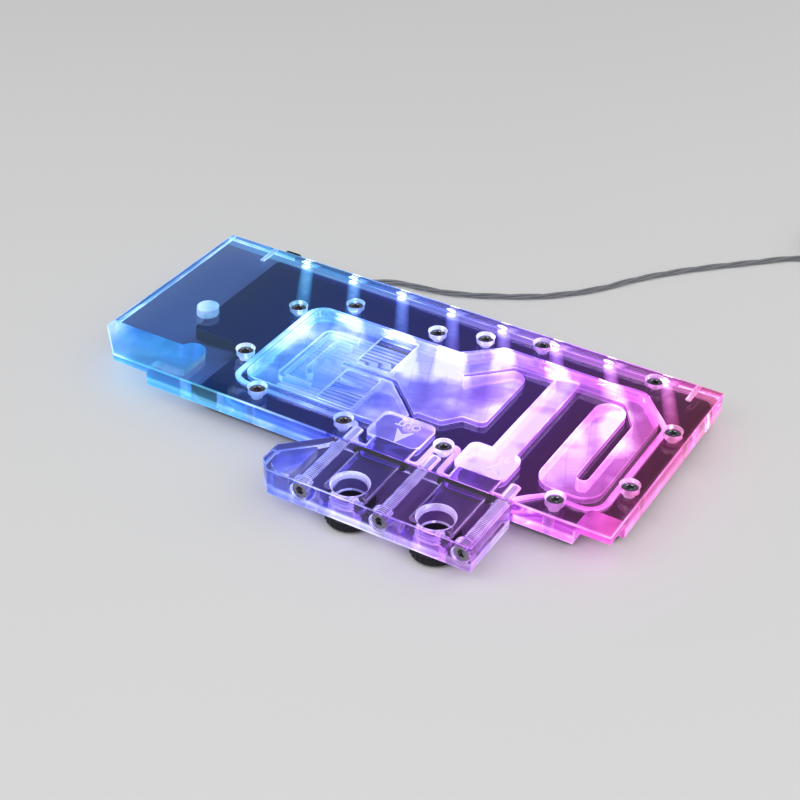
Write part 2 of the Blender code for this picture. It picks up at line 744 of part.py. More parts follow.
def contact_pads(origin):
    """Pads that stand proud below the plate: GPU, memory on three sides of it, power stages and standoffs."""
    x, y = GPU_CENTRE
    reach = GPU_PAD / 2
    memory_reach = reach + 11.5
    boxes = [("gpu_pad", x - reach, x + reach, y - reach, y + reach)]
    for k, along in enumerate((-12.0, 2.0, 16.0)):
        for side, name in ((-1, "near"), (1, "far")):
            middle = y + side * memory_reach
            boxes.append(
                (f"memory_pad_{name}_{k}", x + along - 6, x + along + 6, middle - 5, middle + 5)
            )
    for k, along in enumerate((-7.5, 7.5)):
        middle = x + memory_reach
        boxes.append((f"memory_pad_right_{k}", middle - 5, middle + 5, y + along - 6, y + along + 6))
    boxes.append(("power_pad", LEG_LEFT - 24.0, LEG_LEFT - 14.0, 24.0, BAND_NEAR))
    boxes.append(("coil_pad", LEG_LEFT + 1.0, LEG_LEFT + 13.0, 24.0, BAND_NEAR))
    pads = []
    for name, left, right, near, far in boxes:
        mesh = prism_mesh(name, rectangle(left, right, near, far, 1.0), 0, PAD_HEIGHT + 1.0, False)
        pads.append(add_object(name, mesh, origin))
    bosses = turned_mesh("standoffs", ((3.2, 0), (3.2, PAD_HEIGHT + 1.0)), 18, standoff_places())
    pads.append(add_object("standoffs", bosses, origin))
    return pads


def standoff_places():
    right = from_right(PLATE_INSET + 7.0)
    far = from_far(PLATE_INSET + 6.0)
    left = PLATE_LEFT + 6.0
    near = PLATE_FRONT_INSET + 6.0
    return (
        (left, far),
        (left, PLATE_STEP[1] + 6.0),
        (PLATE_STEP[0] + 9.0, near),
        (from_right(24.0), near),
        (right, far),
    )


def make_gasket(origin, material):
    low = COVER_BOTTOM
    mesh = band_mesh("main_gasket", GASKET_PATH, GASKET_WIDTH, low, low + GASKET_HEIGHT)
    return add_object("main_gasket", mesh, origin, material)


def make_terminal(origin, material):
    outline = (
        (TERMINAL_LEFT + TERMINAL_CORNER_CUT, TERMINAL_FRONT),
        (TERMINAL_RIGHT, TERMINAL_FRONT),
        (TERMINAL_RIGHT, TERMINAL_BACK),
        (TERMINAL_LEFT + TERMINAL_SLANT, TERMINAL_BACK),
        (TERMINAL_LEFT, TERMINAL_BACK - TERMINAL_SLANT),
        (TERMINAL_LEFT, TERMINAL_FRONT + TERMINAL_CORNER_CUT),
    )
    mesh = prism_mesh("terminal_block", outline, TERMINAL_BOTTOM, COVER_TOP)
    block = add_object("terminal_block", mesh, origin, material)
    bevel = block.modifiers.new("broken edges", "BEVEL")
    bevel.width = EDGE_BREAK * MM
    bevel.segments = 1

    cutters = [terminal_bores_mesh(), terminal_screw_bores_mesh(), terminal_recess_mesh()]
    cutters += [terminal_duct_mesh(x) for x in PORT_X]
    cutters += [seal_groove_mesh(x) for x in PORT_X]
    combine(block, "DIFFERENCE", *(add_object(cut.name, cut, origin) for cut in cutters))
    return block


def terminal_bores_mesh():
    """Both ports, right through, with a countersunk mouth on each side."""
    sink = (PORT_MOUTH - PORT_BORE) / 2
    bore, mouth = PORT_BORE / 2, PORT_MOUTH / 2
    profile = (
        (mouth + OVERSHOOT, TERMINAL_BOTTOM - OVERSHOOT),
        (bore, TERMINAL_BOTTOM + sink),
        (bore, COVER_TOP - sink),
        (mouth + OVERSHOOT, COVER_TOP + OVERSHOOT),
    )
    return turned_mesh("port_bores", profile, PORT_FACETS, [(x, PORT_Y) for x in PORT_X])


def terminal_screw_bores_mesh():
    hole, sunk = HOLE_DIAMETER / 2, COUNTERBORE / 2
    head_room = TERMINAL_SCREW_SUNK + SCREW_HEAD_HEIGHT + FIT
    profile = (
        (sunk, -OVERSHOOT),
        (sunk, head_room),
        (hole, head_room),
        (hole, TERMINAL_DEPTH + OVERSHOOT),
    )
    place = TERMINAL_FRONT, TERMINAL_SCREW_Z
    return along_y(profile, "terminal_screw_bores", SCREW_FACETS, TERMINAL_SCREW_X, *place)


def terminal_recess_mesh():
    """The pocket milled from below into the terminal block's slanted wing."""
    wall = TERMINAL_RECESS_WALL
    right = TERMINAL_SCREW_X[0] - COUNTERBORE / 2 - 1.7
    left = TERMINAL_LEFT + wall
    slant_far = TERMINAL_BACK - TERMINAL_SLANT - wall * 0.4
    corners = (
        (left, TERMINAL_FRONT + TERMINAL_CORNER_CUT + wall * 0.4, 1.5),
        (left + TERMINAL_CORNER_CUT - wall * 0.4, TERMINAL_FRONT + wall, 1.5),
        (right, TERMINAL_FRONT + wall, 1.5),
        (right, slant_far + right - left, 1.2),
        (left, slant_far, 1.5),
    )
    return prism_mesh("terminal_recess", corners, TERMINAL_BOTTOM - OVERSHOOT, COVER_TOP - SHELF_THICKNESS)


def terminal_duct_mesh(x):
    mesh = duct_mesh(f"terminal_duct_{x:.0f}", DUCT_LENGTH + OVERSHOOT)
    place = Vector((x, TERMINAL_BACK - DUCT_LENGTH, DUCT_MIDDLE)) * MM
    mesh.transform(Matrix.Translation(place))
    return mesh


def seal_line():
    """The centre line of a terminal seal, as corners (x, z, radius) about the duct's middle."""
    return duct_section(SEAL_MARGIN + SEAL_CORD / 2)


def seal_groove_mesh(x):
    name = f"seal_groove_{x:.0f}"
    mesh = band_mesh(name, seal_line(), SEAL_CORD + 2 * FIT, -OVERSHOOT, SEAL_CORD)
    mesh.transform(Matrix.Rotation(math.radians(90), 4, "X"))
    mesh.transform(Matrix.Translation(Vector((x, TERMINAL_BACK, DUCT_MIDDLE)) * MM))
    return mesh


def make_terminal_seals(origin, material):
    mesh = torus_mesh("terminal_seal", rounded(seal_line()), SEAL_CORD)
    mesh.transform(Matrix.Rotation(math.radians(90), 4, "X"))
    y = TERMINAL_BACK - SEAL_CORD / 2 + FIT / 2
    for name, x in zip(("outlet_seal", "inlet_seal"), PORT_X):
        add_object(name, mesh, origin, material, (x, y, DUCT_MIDDLE))


def screw_mesh(name, shank_length):
    """A socket-head screw, upright, with the underside of its head at zero."""
    shank, head = SCREW_SHANK / 2, SCREW_HEAD / 2
    top = SCREW_HEAD_HEIGHT
    profile = (
        (shank - 0.5, -shank_length),
        (shank, -shank_length + 0.6),
        (shank, 0),
        (head, 0),
        (head, top - 0.4),
        (head - 0.4, top),
        (SCREW_SOCKET / 2, top, True),
        (SCREW_SOCKET / 2, top - SCREW_SOCKET_DEPTH, True),
    )
    return turned_mesh(name, profile, SCREW_FACETS)


def make_screws(origin, material):
    seat = COUNTERBORE_FLOOR + FIT
    mesh = screw_mesh("cover_screw", seat - (PLATE_TOP - SCREW_INTO_PLATE))
    for number, (x, y) in enumerate(COVER_SCREWS, 1):
        add_object(f"cover_screw_{number}", mesh, origin, material, (x, y, seat))
    head_at = TERMINAL_FRONT + TERMINAL_SCREW_SUNK + SCREW_HEAD_HEIGHT
    long_mesh = screw_mesh("terminal_screw", TERMINAL_SCREW_INTO_COVER - head_at)
    sides = ("left", "middle", "right")
    for side, x in zip(sides, TERMINAL_SCREW_X):
        place = (x, head_at, TERMINAL_SCREW_Z)
        turn = (math.radians(90), 0, 0)
        add_object(f"terminal_screw_{side}", long_mesh, origin, material, place, turn)


def plug_mesh():
    """A stop plug, upright: knurled flange, hexagon socket below, seal groove and stub above."""
    flange, stub = PLUG_FLANGE / 2, PORT_BORE / 2 - FIT
    top = PLUG_FLANGE_HEIGHT
    seal_in = stub + 0.2
    seal_out = seal_in + PLUG_SEAL_CORD + 2 * FIT
    socket = PLUG_SOCKET / 2
    profile = (
        (socket, PLUG_SOCKET_DEPTH, True),
        (socket, 0, True),
        (flange - 0.8, 0),
        (flange, 0.7),
        (flange, top - 0.7),
        (flange - 0.7, top),
        (seal_out, top),
        (seal_out, top - PLUG_SEAL_CORD),
        (seal_in, top - PLUG_SEAL_CORD),
        (seal_in, top),
        (stub, top + 0.1),
        (stub, top + PLUG_STUB_LENGTH - 0.6),
        (stub - 0.6, top + PLUG_STUB_LENGTH),
    )
    bm = bmesh.new()
    turned(bm, profile, 2 * PLUG_KNURLS)
    for vert in bm.verts:
        radius = vert.co.xy.length
        step = round(math.atan2(vert.co.y, vert.co.x) / (math.pi / PLUG_KNURLS))
        if radius > flange - 0.1 and step % 2:
            vert.co.xy *= (radius - PLUG_KNURL_DEPTH) / radius
    return finish_mesh("stop_plug", bm, True)


def make_plugs(origin, metal, rubber):
    mesh = plug_mesh()
    low = TERMINAL_BOTTOM - FIT - PLUG_FLANGE_HEIGHT
    radius = PORT_BORE / 2 - FIT + 0.2 + FIT + PLUG_SEAL_CORD / 2
    seal = torus_mesh("plug_seal", circle(radius, 20), PLUG_SEAL_CORD)
    seal_z = low + PLUG_FLANGE_HEIGHT - PLUG_SEAL_CORD / 2 + FIT / 2
    for name, x in zip(("outlet", "inlet"), PORT_X):
        add_object(f"{name}_plug", mesh, origin, metal, (x, PORT_Y, low))
        add_object(f"{name}_plug_seal", seal, origin, rubber, (x, PORT_Y, seal_z))


def make_lights(origin, board_material, light_material, pin_material):
    left, right = board_span()
    half = BOARD_HEIGHT / 2
    corners = rectangle(left, right, BOARD_FACE, BOARD_FACE + BOARD_THICKNESS)
    mesh = prism_mesh("led_strip", corners, LIGHT_Z - half, LIGHT_Z + half)
    board = add_object("led_strip", mesh, origin, board_material)
    radius = PIN_DIAMETER / 2 + FIT
    holes = along_y(((radius, 0), (radius, 6)), "board_holes", 12, pin_places(), BOARD_FACE - 3, LIGHT_Z)
    combine(board, "DIFFERENCE", add_object("board_holes", holes, origin))

    near = COVER_WIDTH - LIGHT_HEIGHT
    size = LIGHT_SIZE / 2
    light = prism_mesh("led", rectangle(-size, size, 0, LIGHT_HEIGHT, 0.3), -size, size)
    for number, x in enumerate(light_places(), 1):
        add_object(f"led_{number}", light, origin, light_material, (x, near, LIGHT_Z))

    reach = PIN_OUTER_END - PIN_HEAD_HEIGHT - from_far(PIN_LENGTH)
    pin = along_y(
        (
            (PIN_DIAMETER / 2, FIT),
            (PIN_DIAMETER / 2, reach),
            (PIN_HEAD / 2, reach),
            (PIN_HEAD / 2, reach + PIN_HEAD_HEIGHT),
        ),
        "edge_pin",
        12,
        (0,),
        0,
        0,
    )
    for side, x in zip(("left", "right"), pin_places()):
        add_object(f"edge_pin_{side}", pin, origin, pin_material, (x, from_far(PIN_LENGTH), LIGHT_Z))


def lead_points():
    """The lead's route from its sleeve on the strip, along the floor behind the block to the coil."""
    radius = LEAD_DIAMETER / 2
    back = BOARD_FACE + BOARD_THICKNESS + FIT + SLEEVE_SIZE[1] / 2
    start = 30.0 + SLEEVE_SIZE[0] / 2 + FIT
    coil_x, coil_y = COIL_CENTRE
    apart = COIL_ACROSS / 2 + FIT + radius
    rise = TIE_THICKNESS + FIT + COIL_ACROSS / 2 - radius
    beside_coil = coil_y - COIL_MEAN_RADIUS - math.sqrt(apart**2 - rise**2)
    return [
        (start, back, LIGHT_Z),
        (start + 8, back, LIGHT_Z),
        (start + 13, back + 1.6, LIGHT_Z - 3.2),
        (start + 17, back + 5.4, LIGHT_Z - 8.0),
        (start + 21, back + 10.6, radius + 0.8),
        (start + 27, back + 16.6, radius),
        (73, 130.5, radius),
        (88, 133, radius),
        (101, 137, radius),
        (116, 144.5, radius),
        (131, 154, radius),
        (141, 163, radius),
        (151, 174.5, radius),
        (162.5, 192, radius),
        (175.5, 208, radius),
        (189, 222, radius),
        (201.5, 234, radius),
        (coil_x - 27, beside_coil - 5.3, radius),
        (coil_x - 20.8, beside_coil - 0.9, radius),
        (coil_x - 13.5, beside_coil + 1.1, radius),
        (coil_x - 7, beside_coil + 0.7, radius),
        (coil_x, beside_coil, radius),
    ]


def smooth_line(points, spacing):
    """Points at an even spacing along a smooth curve through the given ones."""
    fine = []
    count = len(points)
    for i in range(count - 1):
        a, b, c, d = (Vector(points[min(max(k, 0), count - 1)]) for k in (i - 1, i, i + 1, i + 2))
        for step in range(12):
            t = step / 12
            bend = 2 * a - 5 * b + 4 * c - d
            twist = 3 * b - a - 3 * c + d
            fine.append(b + 0.5 * t * ((c - a) + t * (bend + t * twist)))
    fine.append(Vector(points[-1]))
    total = sum((q - p).length for p, q in zip(fine, fine[1:]))
    wanted = round(total / spacing)
    line, travelled, target = [fine[0]], 0.0, 1
    for p, q in zip(fine, fine[1:]):
        length = (q - p).length
        while target < wanted and travelled + length >= target * total / wanted:
            line.append(p.lerp(q, (target * total / wanted - travelled) / length))
            target += 1
        travelled += length
    line.append(fine[-1])
    return line


def make_cord(name, points, origin, material):
    curve = bpy.data.curves.new(name, "CURVE")
    curve.dimensions = "3D"
    curve.bevel_depth = LEAD_DIAMETER / 2 * MM
    curve.bevel_resolution = 2
    curve.use_fill_caps = True
    line = smooth_line(points, 2.6 * LEAD_DIAMETER)
    spline = curve.splines.new("POLY")
    spline.points.add(len(line) - 1)
    for place, point in zip(line, spline.points):
        point.co = (*(place * MM), 1)
    curve.materials.append(material)
    cord = bpy.data.objects.new(name, curve)
    bpy.context.scene.collection.objects.link(cord)
    cord.parent = origin
    return cord


def make_lead(origin, rubber, plastic):
    """Sleeve, lead, coil with its two ties, and the connector on the lead's end."""
    wide, deep, high = SLEEVE_SIZE
    back = BOARD_FACE + BOARD_THICKNESS + FIT
    corners = rectangle(30 - wide / 2, 30 + wide / 2, back, back + deep, 0.8)
    sleeve = prism_mesh("lead_sleeve", corners, LIGHT_Z - high / 2, LIGHT_Z + high / 2)
    add_object("lead_sleeve", sleeve, origin, rubber)
    make_cord("led_lead", lead_points(), origin, rubber)

    coil_x, coil_y = COIL_CENTRE
    low = TIE_THICKNESS + FIT
    half = COIL_ACROSS / 2
    ring = torus_mesh("led_lead_coil", circle(COIL_MEAN_RADIUS, 28), COIL_ACROSS, 8)
    place = (coil_x, coil_y, low + half)
    add_object("led_lead_coil", ring, origin, rubber, place)
    middle = half + FIT + TIE_THICKNESS / 2
    loop = rectangle(-middle, middle, -middle, middle, 2)
    for side, turn in (("right", 0), ("left", math.pi)):
        tie = band_mesh(f"coil_tie_{side}", loop, TIE_THICKNESS, -TIE_WIDTH / 2, TIE_WIDTH / 2)
        tie.transform(Matrix.Rotation(math.radians(90), 4, "X"))
        x = coil_x + math.cos(turn) * COIL_MEAN_RADIUS
        add_object(tie.name, tie, origin, plastic, (x, coil_y, low + half))

    length, width, height = CONNECTOR_SIZE
    near = coil_y + COIL_MEAN_RADIUS + half + FIT
    corners = rectangle(coil_x + 2, coil_x + 2 + length, near, near + width, 0.8)
    connector = prism_mesh("led_connector", corners, 0, height)
    add_object("led_connector", connector, origin, plastic)


def main():
    clear_scene()
    origin = bpy.data.objects.new("water_block", None)
    bpy.context.scene.collection.objects.link(origin)
    origin.location = (-FOOTPRINT_MIDDLE[0] * MM, -FOOTPRINT_MIDDLE[1] * MM, 0)

    acrylic = make_material("clear acrylic", (0.86, 0.93, 0.97), 0.05, alpha=0.45)
    nickel = make_material("nickel plate", (0.62, 0.60, 0.58), 0.12, 1.0)
    silicone = make_material("silicone gasket", (0.62, 0.52, 0.60), 0.5)
    steel = make_material("stainless steel", (0.66, 0.66, 0.67), 0.2, 1.0)
    black_rubber = make_material("black rubber", (0.02, 0.02, 0.022), 0.6)
    black_metal = make_material("black anodised metal", (0.03, 0.03, 0.032), 0.4, 0.6)
    board = make_material("white strip board", (0.85, 0.86, 0.88), 0.5)
    light = make_material("light", (0.95, 0.95, 0.85), 0.3)
    nylon = make_material("clear nylon", (0.85, 0.88, 0.92), 0.35)
    grey_pvc = make_material("grey lead", (0.35, 0.36, 0.38), 0.45)
    black_plastic = make_material("black plastic", (0.025, 0.025, 0.027), 0.45)

    make_cover(origin, acrylic)
    make_cold_plate(origin, nickel)
    make_gasket(origin, silicone)
    make_terminal(origin, acrylic)
    make_terminal_seals(origin, black_rubber)
    make_screws(origin, steel)
    make_plugs(origin, black_metal, black_rubber)
    make_lights(origin, board, light, nylon)
    make_lead(origin, grey_pvc, black_plastic)


main()
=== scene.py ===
# %% [markdown]
# # A water block for a graphics card, dressed for a studio picture
#
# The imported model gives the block's real shapes and sizes. This lesson keeps them, and makes again,
# with finer surfaces, what the picture shows closely: the clear cover with its milled chambers, the
# nickel cold plate, the threads, the lights and their lead. Sizes are in millimetres, as on the real
# block, measured from the cover's near left corner, and one helper turns them into metres.

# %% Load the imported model
import math

import bmesh
import bpy
from mathutils import Matrix, Vector


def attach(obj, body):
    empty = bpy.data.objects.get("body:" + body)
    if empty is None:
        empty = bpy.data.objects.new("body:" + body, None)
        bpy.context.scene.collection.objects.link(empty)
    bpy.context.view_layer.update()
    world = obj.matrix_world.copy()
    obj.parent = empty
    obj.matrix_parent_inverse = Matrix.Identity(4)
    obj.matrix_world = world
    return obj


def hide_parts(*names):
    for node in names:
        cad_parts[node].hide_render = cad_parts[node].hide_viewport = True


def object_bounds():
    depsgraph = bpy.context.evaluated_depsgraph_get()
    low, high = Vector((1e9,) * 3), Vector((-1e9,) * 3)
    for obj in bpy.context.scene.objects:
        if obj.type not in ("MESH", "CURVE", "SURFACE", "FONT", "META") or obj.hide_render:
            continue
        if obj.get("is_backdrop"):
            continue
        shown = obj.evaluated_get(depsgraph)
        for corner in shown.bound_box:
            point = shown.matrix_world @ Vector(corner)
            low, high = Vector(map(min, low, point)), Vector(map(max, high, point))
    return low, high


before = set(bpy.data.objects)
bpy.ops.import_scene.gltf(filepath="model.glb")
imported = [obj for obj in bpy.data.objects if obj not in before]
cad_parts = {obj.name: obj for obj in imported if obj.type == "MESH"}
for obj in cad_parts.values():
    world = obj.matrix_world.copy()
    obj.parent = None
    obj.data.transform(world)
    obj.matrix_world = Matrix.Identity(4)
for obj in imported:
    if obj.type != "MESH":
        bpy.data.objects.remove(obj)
cad_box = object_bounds()

MM = 0.001
FIT = 0.3
COVER_LENGTH, COVER_WIDTH = 236.0, 105.0
COVER_BOTTOM, COVER_TOP = 7.1, 16.5
TERMINAL_BOTTOM = COVER_TOP - 11.4
DUCT_Z = COVER_TOP - 4.9
ORIGIN = Vector((118.0, 38.2, 0.0))
BLACK, WHITE = (0.0, 0.0, 0.0), (1.0, 1.0, 1.0)

print("nodes:", len(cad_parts), "box:", [round(v, 4) for corner in cad_box for v in corner])


# %% [markdown]
# ## Camera
#
# The photograph was taken with a long lens from the front right, well above the block. Its place and
# turn were worked out from the cover's corners and screw heads. The camera could be aimed with a
# constraint, but a matrix from three angles says exactly what was measured, so it is set that way.

# %% Camera
CAMERA_AT = (404.23, -440.69, 399.10)
CAMERA_TURN = (55.047, 1.1745, 30.033)
FOCAL_PIXELS, PICTURE_PIXELS = 1715.76, 800


def place(x, y, z):
    """A point of the block's layout, in metres."""
    return (Vector((x, y, z)) - ORIGIN) * MM


def shown(name, data):
    """A new object in the scene, for data of any kind."""
    made = bpy.data.objects.new(name, data)
    bpy.context.scene.collection.objects.link(made)
    return made


camera_data = bpy.data.cameras.new("camera")
camera_data.sensor_width = 36.0
camera_data.lens = camera_data.sensor_width * FOCAL_PIXELS / PICTURE_PIXELS
camera_data.clip_start, camera_data.clip_end = 0.01, 20.0
camera = shown("camera", camera_data)
pitch, roll, yaw = (math.radians(angle) for angle in CAMERA_TURN)
turn = Matrix.Rotation(yaw, 4, "Z") @ Matrix.Rotation(pitch, 4, "X") @ Matrix.Rotation(roll, 4, "Z")
camera.matrix_world = Matrix.Translation(place(*CAMERA_AT)) @ turn
bpy.context.scene.camera = camera
print("lens:", round(camera_data.lens, 1), "mm")


# %% [markdown]
# ## A small way to write shader maths
#
# Frosting, scratches and the colour of the light all come from sums on coordinates. Wiring each Math
# node by hand hides the sum. A small class wraps a socket and overloads the operators, so that the
# sum reads as Python, and one method makes every other kind of node.

# %% Shader helpers
class Value:
    """A number in a node tree. Sums on it add Math nodes."""

    def __init__(self, tree, socket):
        self.tree, self.socket = tree, socket

    def math(self, operation, *others, clamp=False):
        node = self.tree.nodes.new("ShaderNodeMath")
        node.operation, node.use_clamp = operation, clamp
        for slot, value in zip(node.inputs, (self, *others)):
            connect(self.tree, slot, value)
        return Value(self.tree, node.outputs[0])

    def __add__(self, other):
        return self.math("ADD", other)

    def __sub__(self, other):
        return self.math("SUBTRACT", other)

    def __mul__(self, other):
        return self.math("MULTIPLY", other)

    def __truediv__(self, other):
        return self.math("DIVIDE", other)

    def __rsub__(self, other):
        return (self * -1.0) + other

    __radd__, __rmul__ = __add__, __mul__

    def clamped(self):
        return self.math("ADD", 0.0, clamp=True)


def connect(tree, slot, value):
    """Sets a socket to a number or a colour, or links it to a Value or an output."""
    if isinstance(value, Value):
        tree.links.new(value.socket, slot)
    elif isinstance(value, bpy.types.NodeSocket):
        tree.links.new(value, slot)
    else:
        slot.default_value = value


class Material:
    """A material whose nodes come from one method."""

    def __init__(self, name):
        self.made = bpy.data.materials.new(name)
        self.made.use_nodes = True
        self.tree = self.made.node_tree
        self.shader = self.tree.nodes["Principled BSDF"]
        self.output = self.tree.nodes["Material Output"]

    def node(self, kind, output=0, **sockets):
        node = self.tree.nodes.new("ShaderNode" + kind)
        for name, value in sockets.items():
            connect(self.tree, node.inputs[name], value)
        return Value(self.tree, node.outputs[output])

    def set(self, **sockets):
        for name, value in sockets.items():
            connect(self.tree, self.shader.inputs[name.replace("_", " ")], value)
        return self

    def where(self, scale):
        """Object coordinates, stretched."""
        return self.node("Mapping", Vector=self.node("TexCoord", "Object"), Scale=scale)

    def axis(self, letter):
        """X, Y or Z of the object coordinates, in millimetres."""
        return self.node("SeparateXYZ", letter, Vector=self.where((1000, 1000, 1000)))

    def layout(self, letter):
        """X or Y as the block's layout has it."""
        return self.axis(letter) + ORIGIN["XY".index(letter)]

    def noise(self, scale, detail=3.0, stretch=(1, 1, 1)):
        return self.node("TexNoise", Vector=self.where(stretch), Scale=scale, Detail=detail)

    def ramp(self, factor, stops):
        """A colour ramp from (position, colour) pairs."""
        made = self.node("ValToRGB", Fac=factor)
        elements = made.socket.node.color_ramp.elements
        while len(elements) < len(stops):
            elements.new(0.5)
        for element, (position, colour) in zip(elements, stops):
            element.position = position
            element.color = (*colour, 1)
        return made

    def mix(self, factor, first, second, blend="MIX"):
        node = self.tree.nodes.new("ShaderNodeMix")
        node.data_type, node.blend_type = "RGBA", blend
        for slot, value in {0: factor, 6: first, 7: second}.items():
            value = (*value, 1) if isinstance(value, tuple) else value
            connect(self.tree, node.inputs[slot], value)
        return Value(self.tree, node.outputs[2])

    def bump(self, height, distance, strength):
        return self.node("Bump", Height=height, Distance=distance, Strength=strength)

    def pass_lamps(self, share):
        """Lets rays from the lamps through, so that what lies behind the clear material is lit."""
        clear = self.node("BsdfTransparent", Color=(share, share, share, 1))
        path = self.node("LightPath", "Is Shadow Ray")
        mixer = self.tree.nodes.new("ShaderNodeMixShader")
        connect(self.tree, mixer.inputs[0], path)
        connect(self.tree, mixer.inputs[1], self.shader.outputs[0])
        connect(self.tree, mixer.inputs[2], clear)
        connect(self.tree, self.output.inputs["Surface"], mixer.outputs[0])
        return self


# %% [markdown]
# ## The light inside the acrylic
#
# The strip's lights change colour along the cover: cyan at the bare end, then blue and violet over the
# processor, and magenta to red at the power stages. The light travels inside the clear acrylic and
# only shows where a surface is milled, frosted or cut. Lamps inside glass would need a very long
# render, so each frosted surface glows a little by itself, in the colour that the strip has there.

# %% Colours along the strip
GLOW_STOPS = (
    (0.00, (0.03, 0.42, 1.00)),
    (0.10, (0.03, 0.66, 1.00)),
    (0.22, (0.03, 0.60, 1.00)),
    (0.34, (0.05, 0.32, 1.00)),
    (0.48, (0.14, 0.19, 1.00)),
    (0.60, (0.32, 0.16, 1.00)),
    (0.74, (0.62, 0.12, 1.00)),
    (0.88, (0.84, 0.11, 0.85)),
    (1.00, (0.98, 0.08, 0.34)),
)
DEEP_STOPS = (
    (0.00, (0.00, 0.19, 0.85)),
    (0.30, (0.00, 0.17, 1.00)),
    (0.50, (0.10, 0.09, 1.00)),
    (0.74, (0.46, 0.05, 0.95)),
    (0.90, (0.62, 0.04, 0.62)),
    (1.00, (0.74, 0.04, 0.34)),
)
LIGHT_SPACING = 24.4
LIGHT_X = [40.5 + LIGHT_SPACING * k for k in range(8)]


def glow_colour(material):
    """The light's colour there. It turns red a little sooner along the far edge."""
    along = material.layout("X") / COVER_LENGTH
    far = material.layout("Y") / COVER_WIDTH
    return material.ramp(along * (far * 0.1 + 0.9), GLOW_STOPS)


def deep_colour(material):
    """What the light's colour becomes after a long way through the acrylic."""
    return material.ramp(material.layout("X") / COVER_LENGTH, DEEP_STOPS)


def from_lights(material, slant=0.0):
    """How far a point is aside of the nearest light's beam, and how far in front of the strip."""
    depth = COVER_WIDTH - material.layout("Y")
    x = material.layout("X") - depth * slant
    half = LIGHT_SPACING / 2
    aside = (x - (LIGHT_X[0] - half)).math("MODULO", LIGHT_SPACING) - half
    inside = ((x - 30.0) * 0.2).clamped() * ((222.0 - x) * 0.2).clamped()
    return aside, depth, inside


def beams(material, reach=70.0, base=0.7, height=1.7, spread=0.14):
    """The lights' beams, slanted as they are mirrored towards the camera. They widen and fade."""
    aside, depth, inside = from_lights(material, 0.55)
    ratio = aside / (depth * spread + 3.4)
    return (1.0 - ratio * ratio).clamped() * (1.0 - depth / reach).clamped() * inside * height + base


def tinted(material, share):
    """White, pulled towards the deep colour of the light there."""
    return material.mix(share, WHITE, deep_colour(material))


def dimmed(material, colour, level):
    """A colour times a level from 0 to 1."""
    return material.mix(1.0, colour, material.mix(level, BLACK, WHITE), "MULTIPLY")


def make_clear(name, light_tint, depth=1.0):
    """Polished cast acrylic: clear all through, with faint waves left by polishing, and painted in the
    light's colour.
    """
    material = Material(name)
    material.set(
        # Painted light colour: white pulled towards the light's deep colour. The depth dims it, a painted
        # shade for a dark table seen through it.
        Base_Color=dimmed(material, tinted(material, light_tint), depth),
        Roughness=0.012,
        IOR=1.49,
        # The specular tint dims the reflections, a painted shade for a dark room.
        Specular_Tint=(0.5, 0.5, 0.55, 1.0),
        Transmission_Weight=1.0,
        Normal=material.bump(material.noise(26.0, 2.0), 0.00005, 0.3),
    )
    return material.pass_lamps(0.9)


def make_frost(name, glow, rough, clear, light_tint, white, haze, grain, shape=None):
    """Milled acrylic: a haze of fine cutter marks that scatters the light.

    It glows by itself, whiter where it is brighter, and the shape says where: a painted glow.
    The light tint pulls its colour towards the light's deep colour, a painted light colour.
    """
    material = Material(name)
    marks = material.noise(700.0, 3.0)
    hot = ((material.noise(38.0, 3.0) - 0.45) * 5.0).clamped()
    level = hot * 0.6 + 0.5
    if shape:
        level = level * shape(material)
    level = level.clamped()
    colour = material.mix(level * level * white, glow_colour(material), (0.85, 0.92, 1.0))
    material.set(
        Base_Color=dimmed(material, tinted(material, light_tint), marks * 0.1 + haze),
        Roughness=marks * 0.08 + (rough - 0.04),
        IOR=1.49,
        Transmission_Weight=clear,
        Emission_Color=dimmed(material, colour, level),
        Emission_Strength=glow,
        Normal=material.bump(marks, 0.00004, grain),
    )
    return material.pass_lamps(0.8)


def by_height(low, high, stops, dark_joint=False):
    """A level of painted glow that changes with height, from (share of the height, level) pairs.

    The joint, where the terminal block and the cover face each other, gets no glow.
    """

    def shape(material):
        height = (material.axis("Z") - low) / (high - low)
        lines = material.ramp(height, [(spot, (level,) * 3) for spot, level in stops])
        lines = material.node("RGBToBW", Color=lines)
        if not dark_joint:
            return lines
        x, y = material.layout("X"), material.layout("Y")
        near = (1.9 - y.math("ABSOLUTE")).clamped() * (x - 117.0).clamped() * (198.0 - x).clamped()
        return lines * (1.0 - near)

    return shape


# Levels of painted glow: bright lines along the lit edges, with darker bands between them.
LOWER_STOPS = ((0.0, 1.0), (0.06, 0.9), (0.12, 0.7))
EDGE_STOPS = (*LOWER_STOPS, (0.36, 1.0), (0.48, 0.25), (0.88, 0.1), (0.945, 1.0), (1.0, 0.7))
TERMINAL_STOPS = (*LOWER_STOPS, (0.3, 0.9), (0.42, 0.1), (0.93, 0.04), (0.965, 1.0), (1.0, 0.5))
THREAD_STOPS = ((0.0, 0.5), (0.55, 0.8), (0.75, 0.6), (0.9, 1.0))
edge_glow_lines = by_height(COVER_BOTTOM, COVER_TOP, EDGE_STOPS, dark_joint=True)
terminal_glow_lines = by_height(TERMINAL_BOTTOM, COVER_TOP, TERMINAL_STOPS, dark_joint=True)
thread_glow_lines = by_height(TERMINAL_BOTTOM, COVER_TOP, THREAD_STOPS)

acrylic_clear = make_clear("polished acrylic", 0.5)
# Below the terminal block the acrylic is dimmed and tinted further, a painted shade for a dark table seen
# through it.
acrylic_low = make_clear("polished acrylic below", 0.9, 0.22)
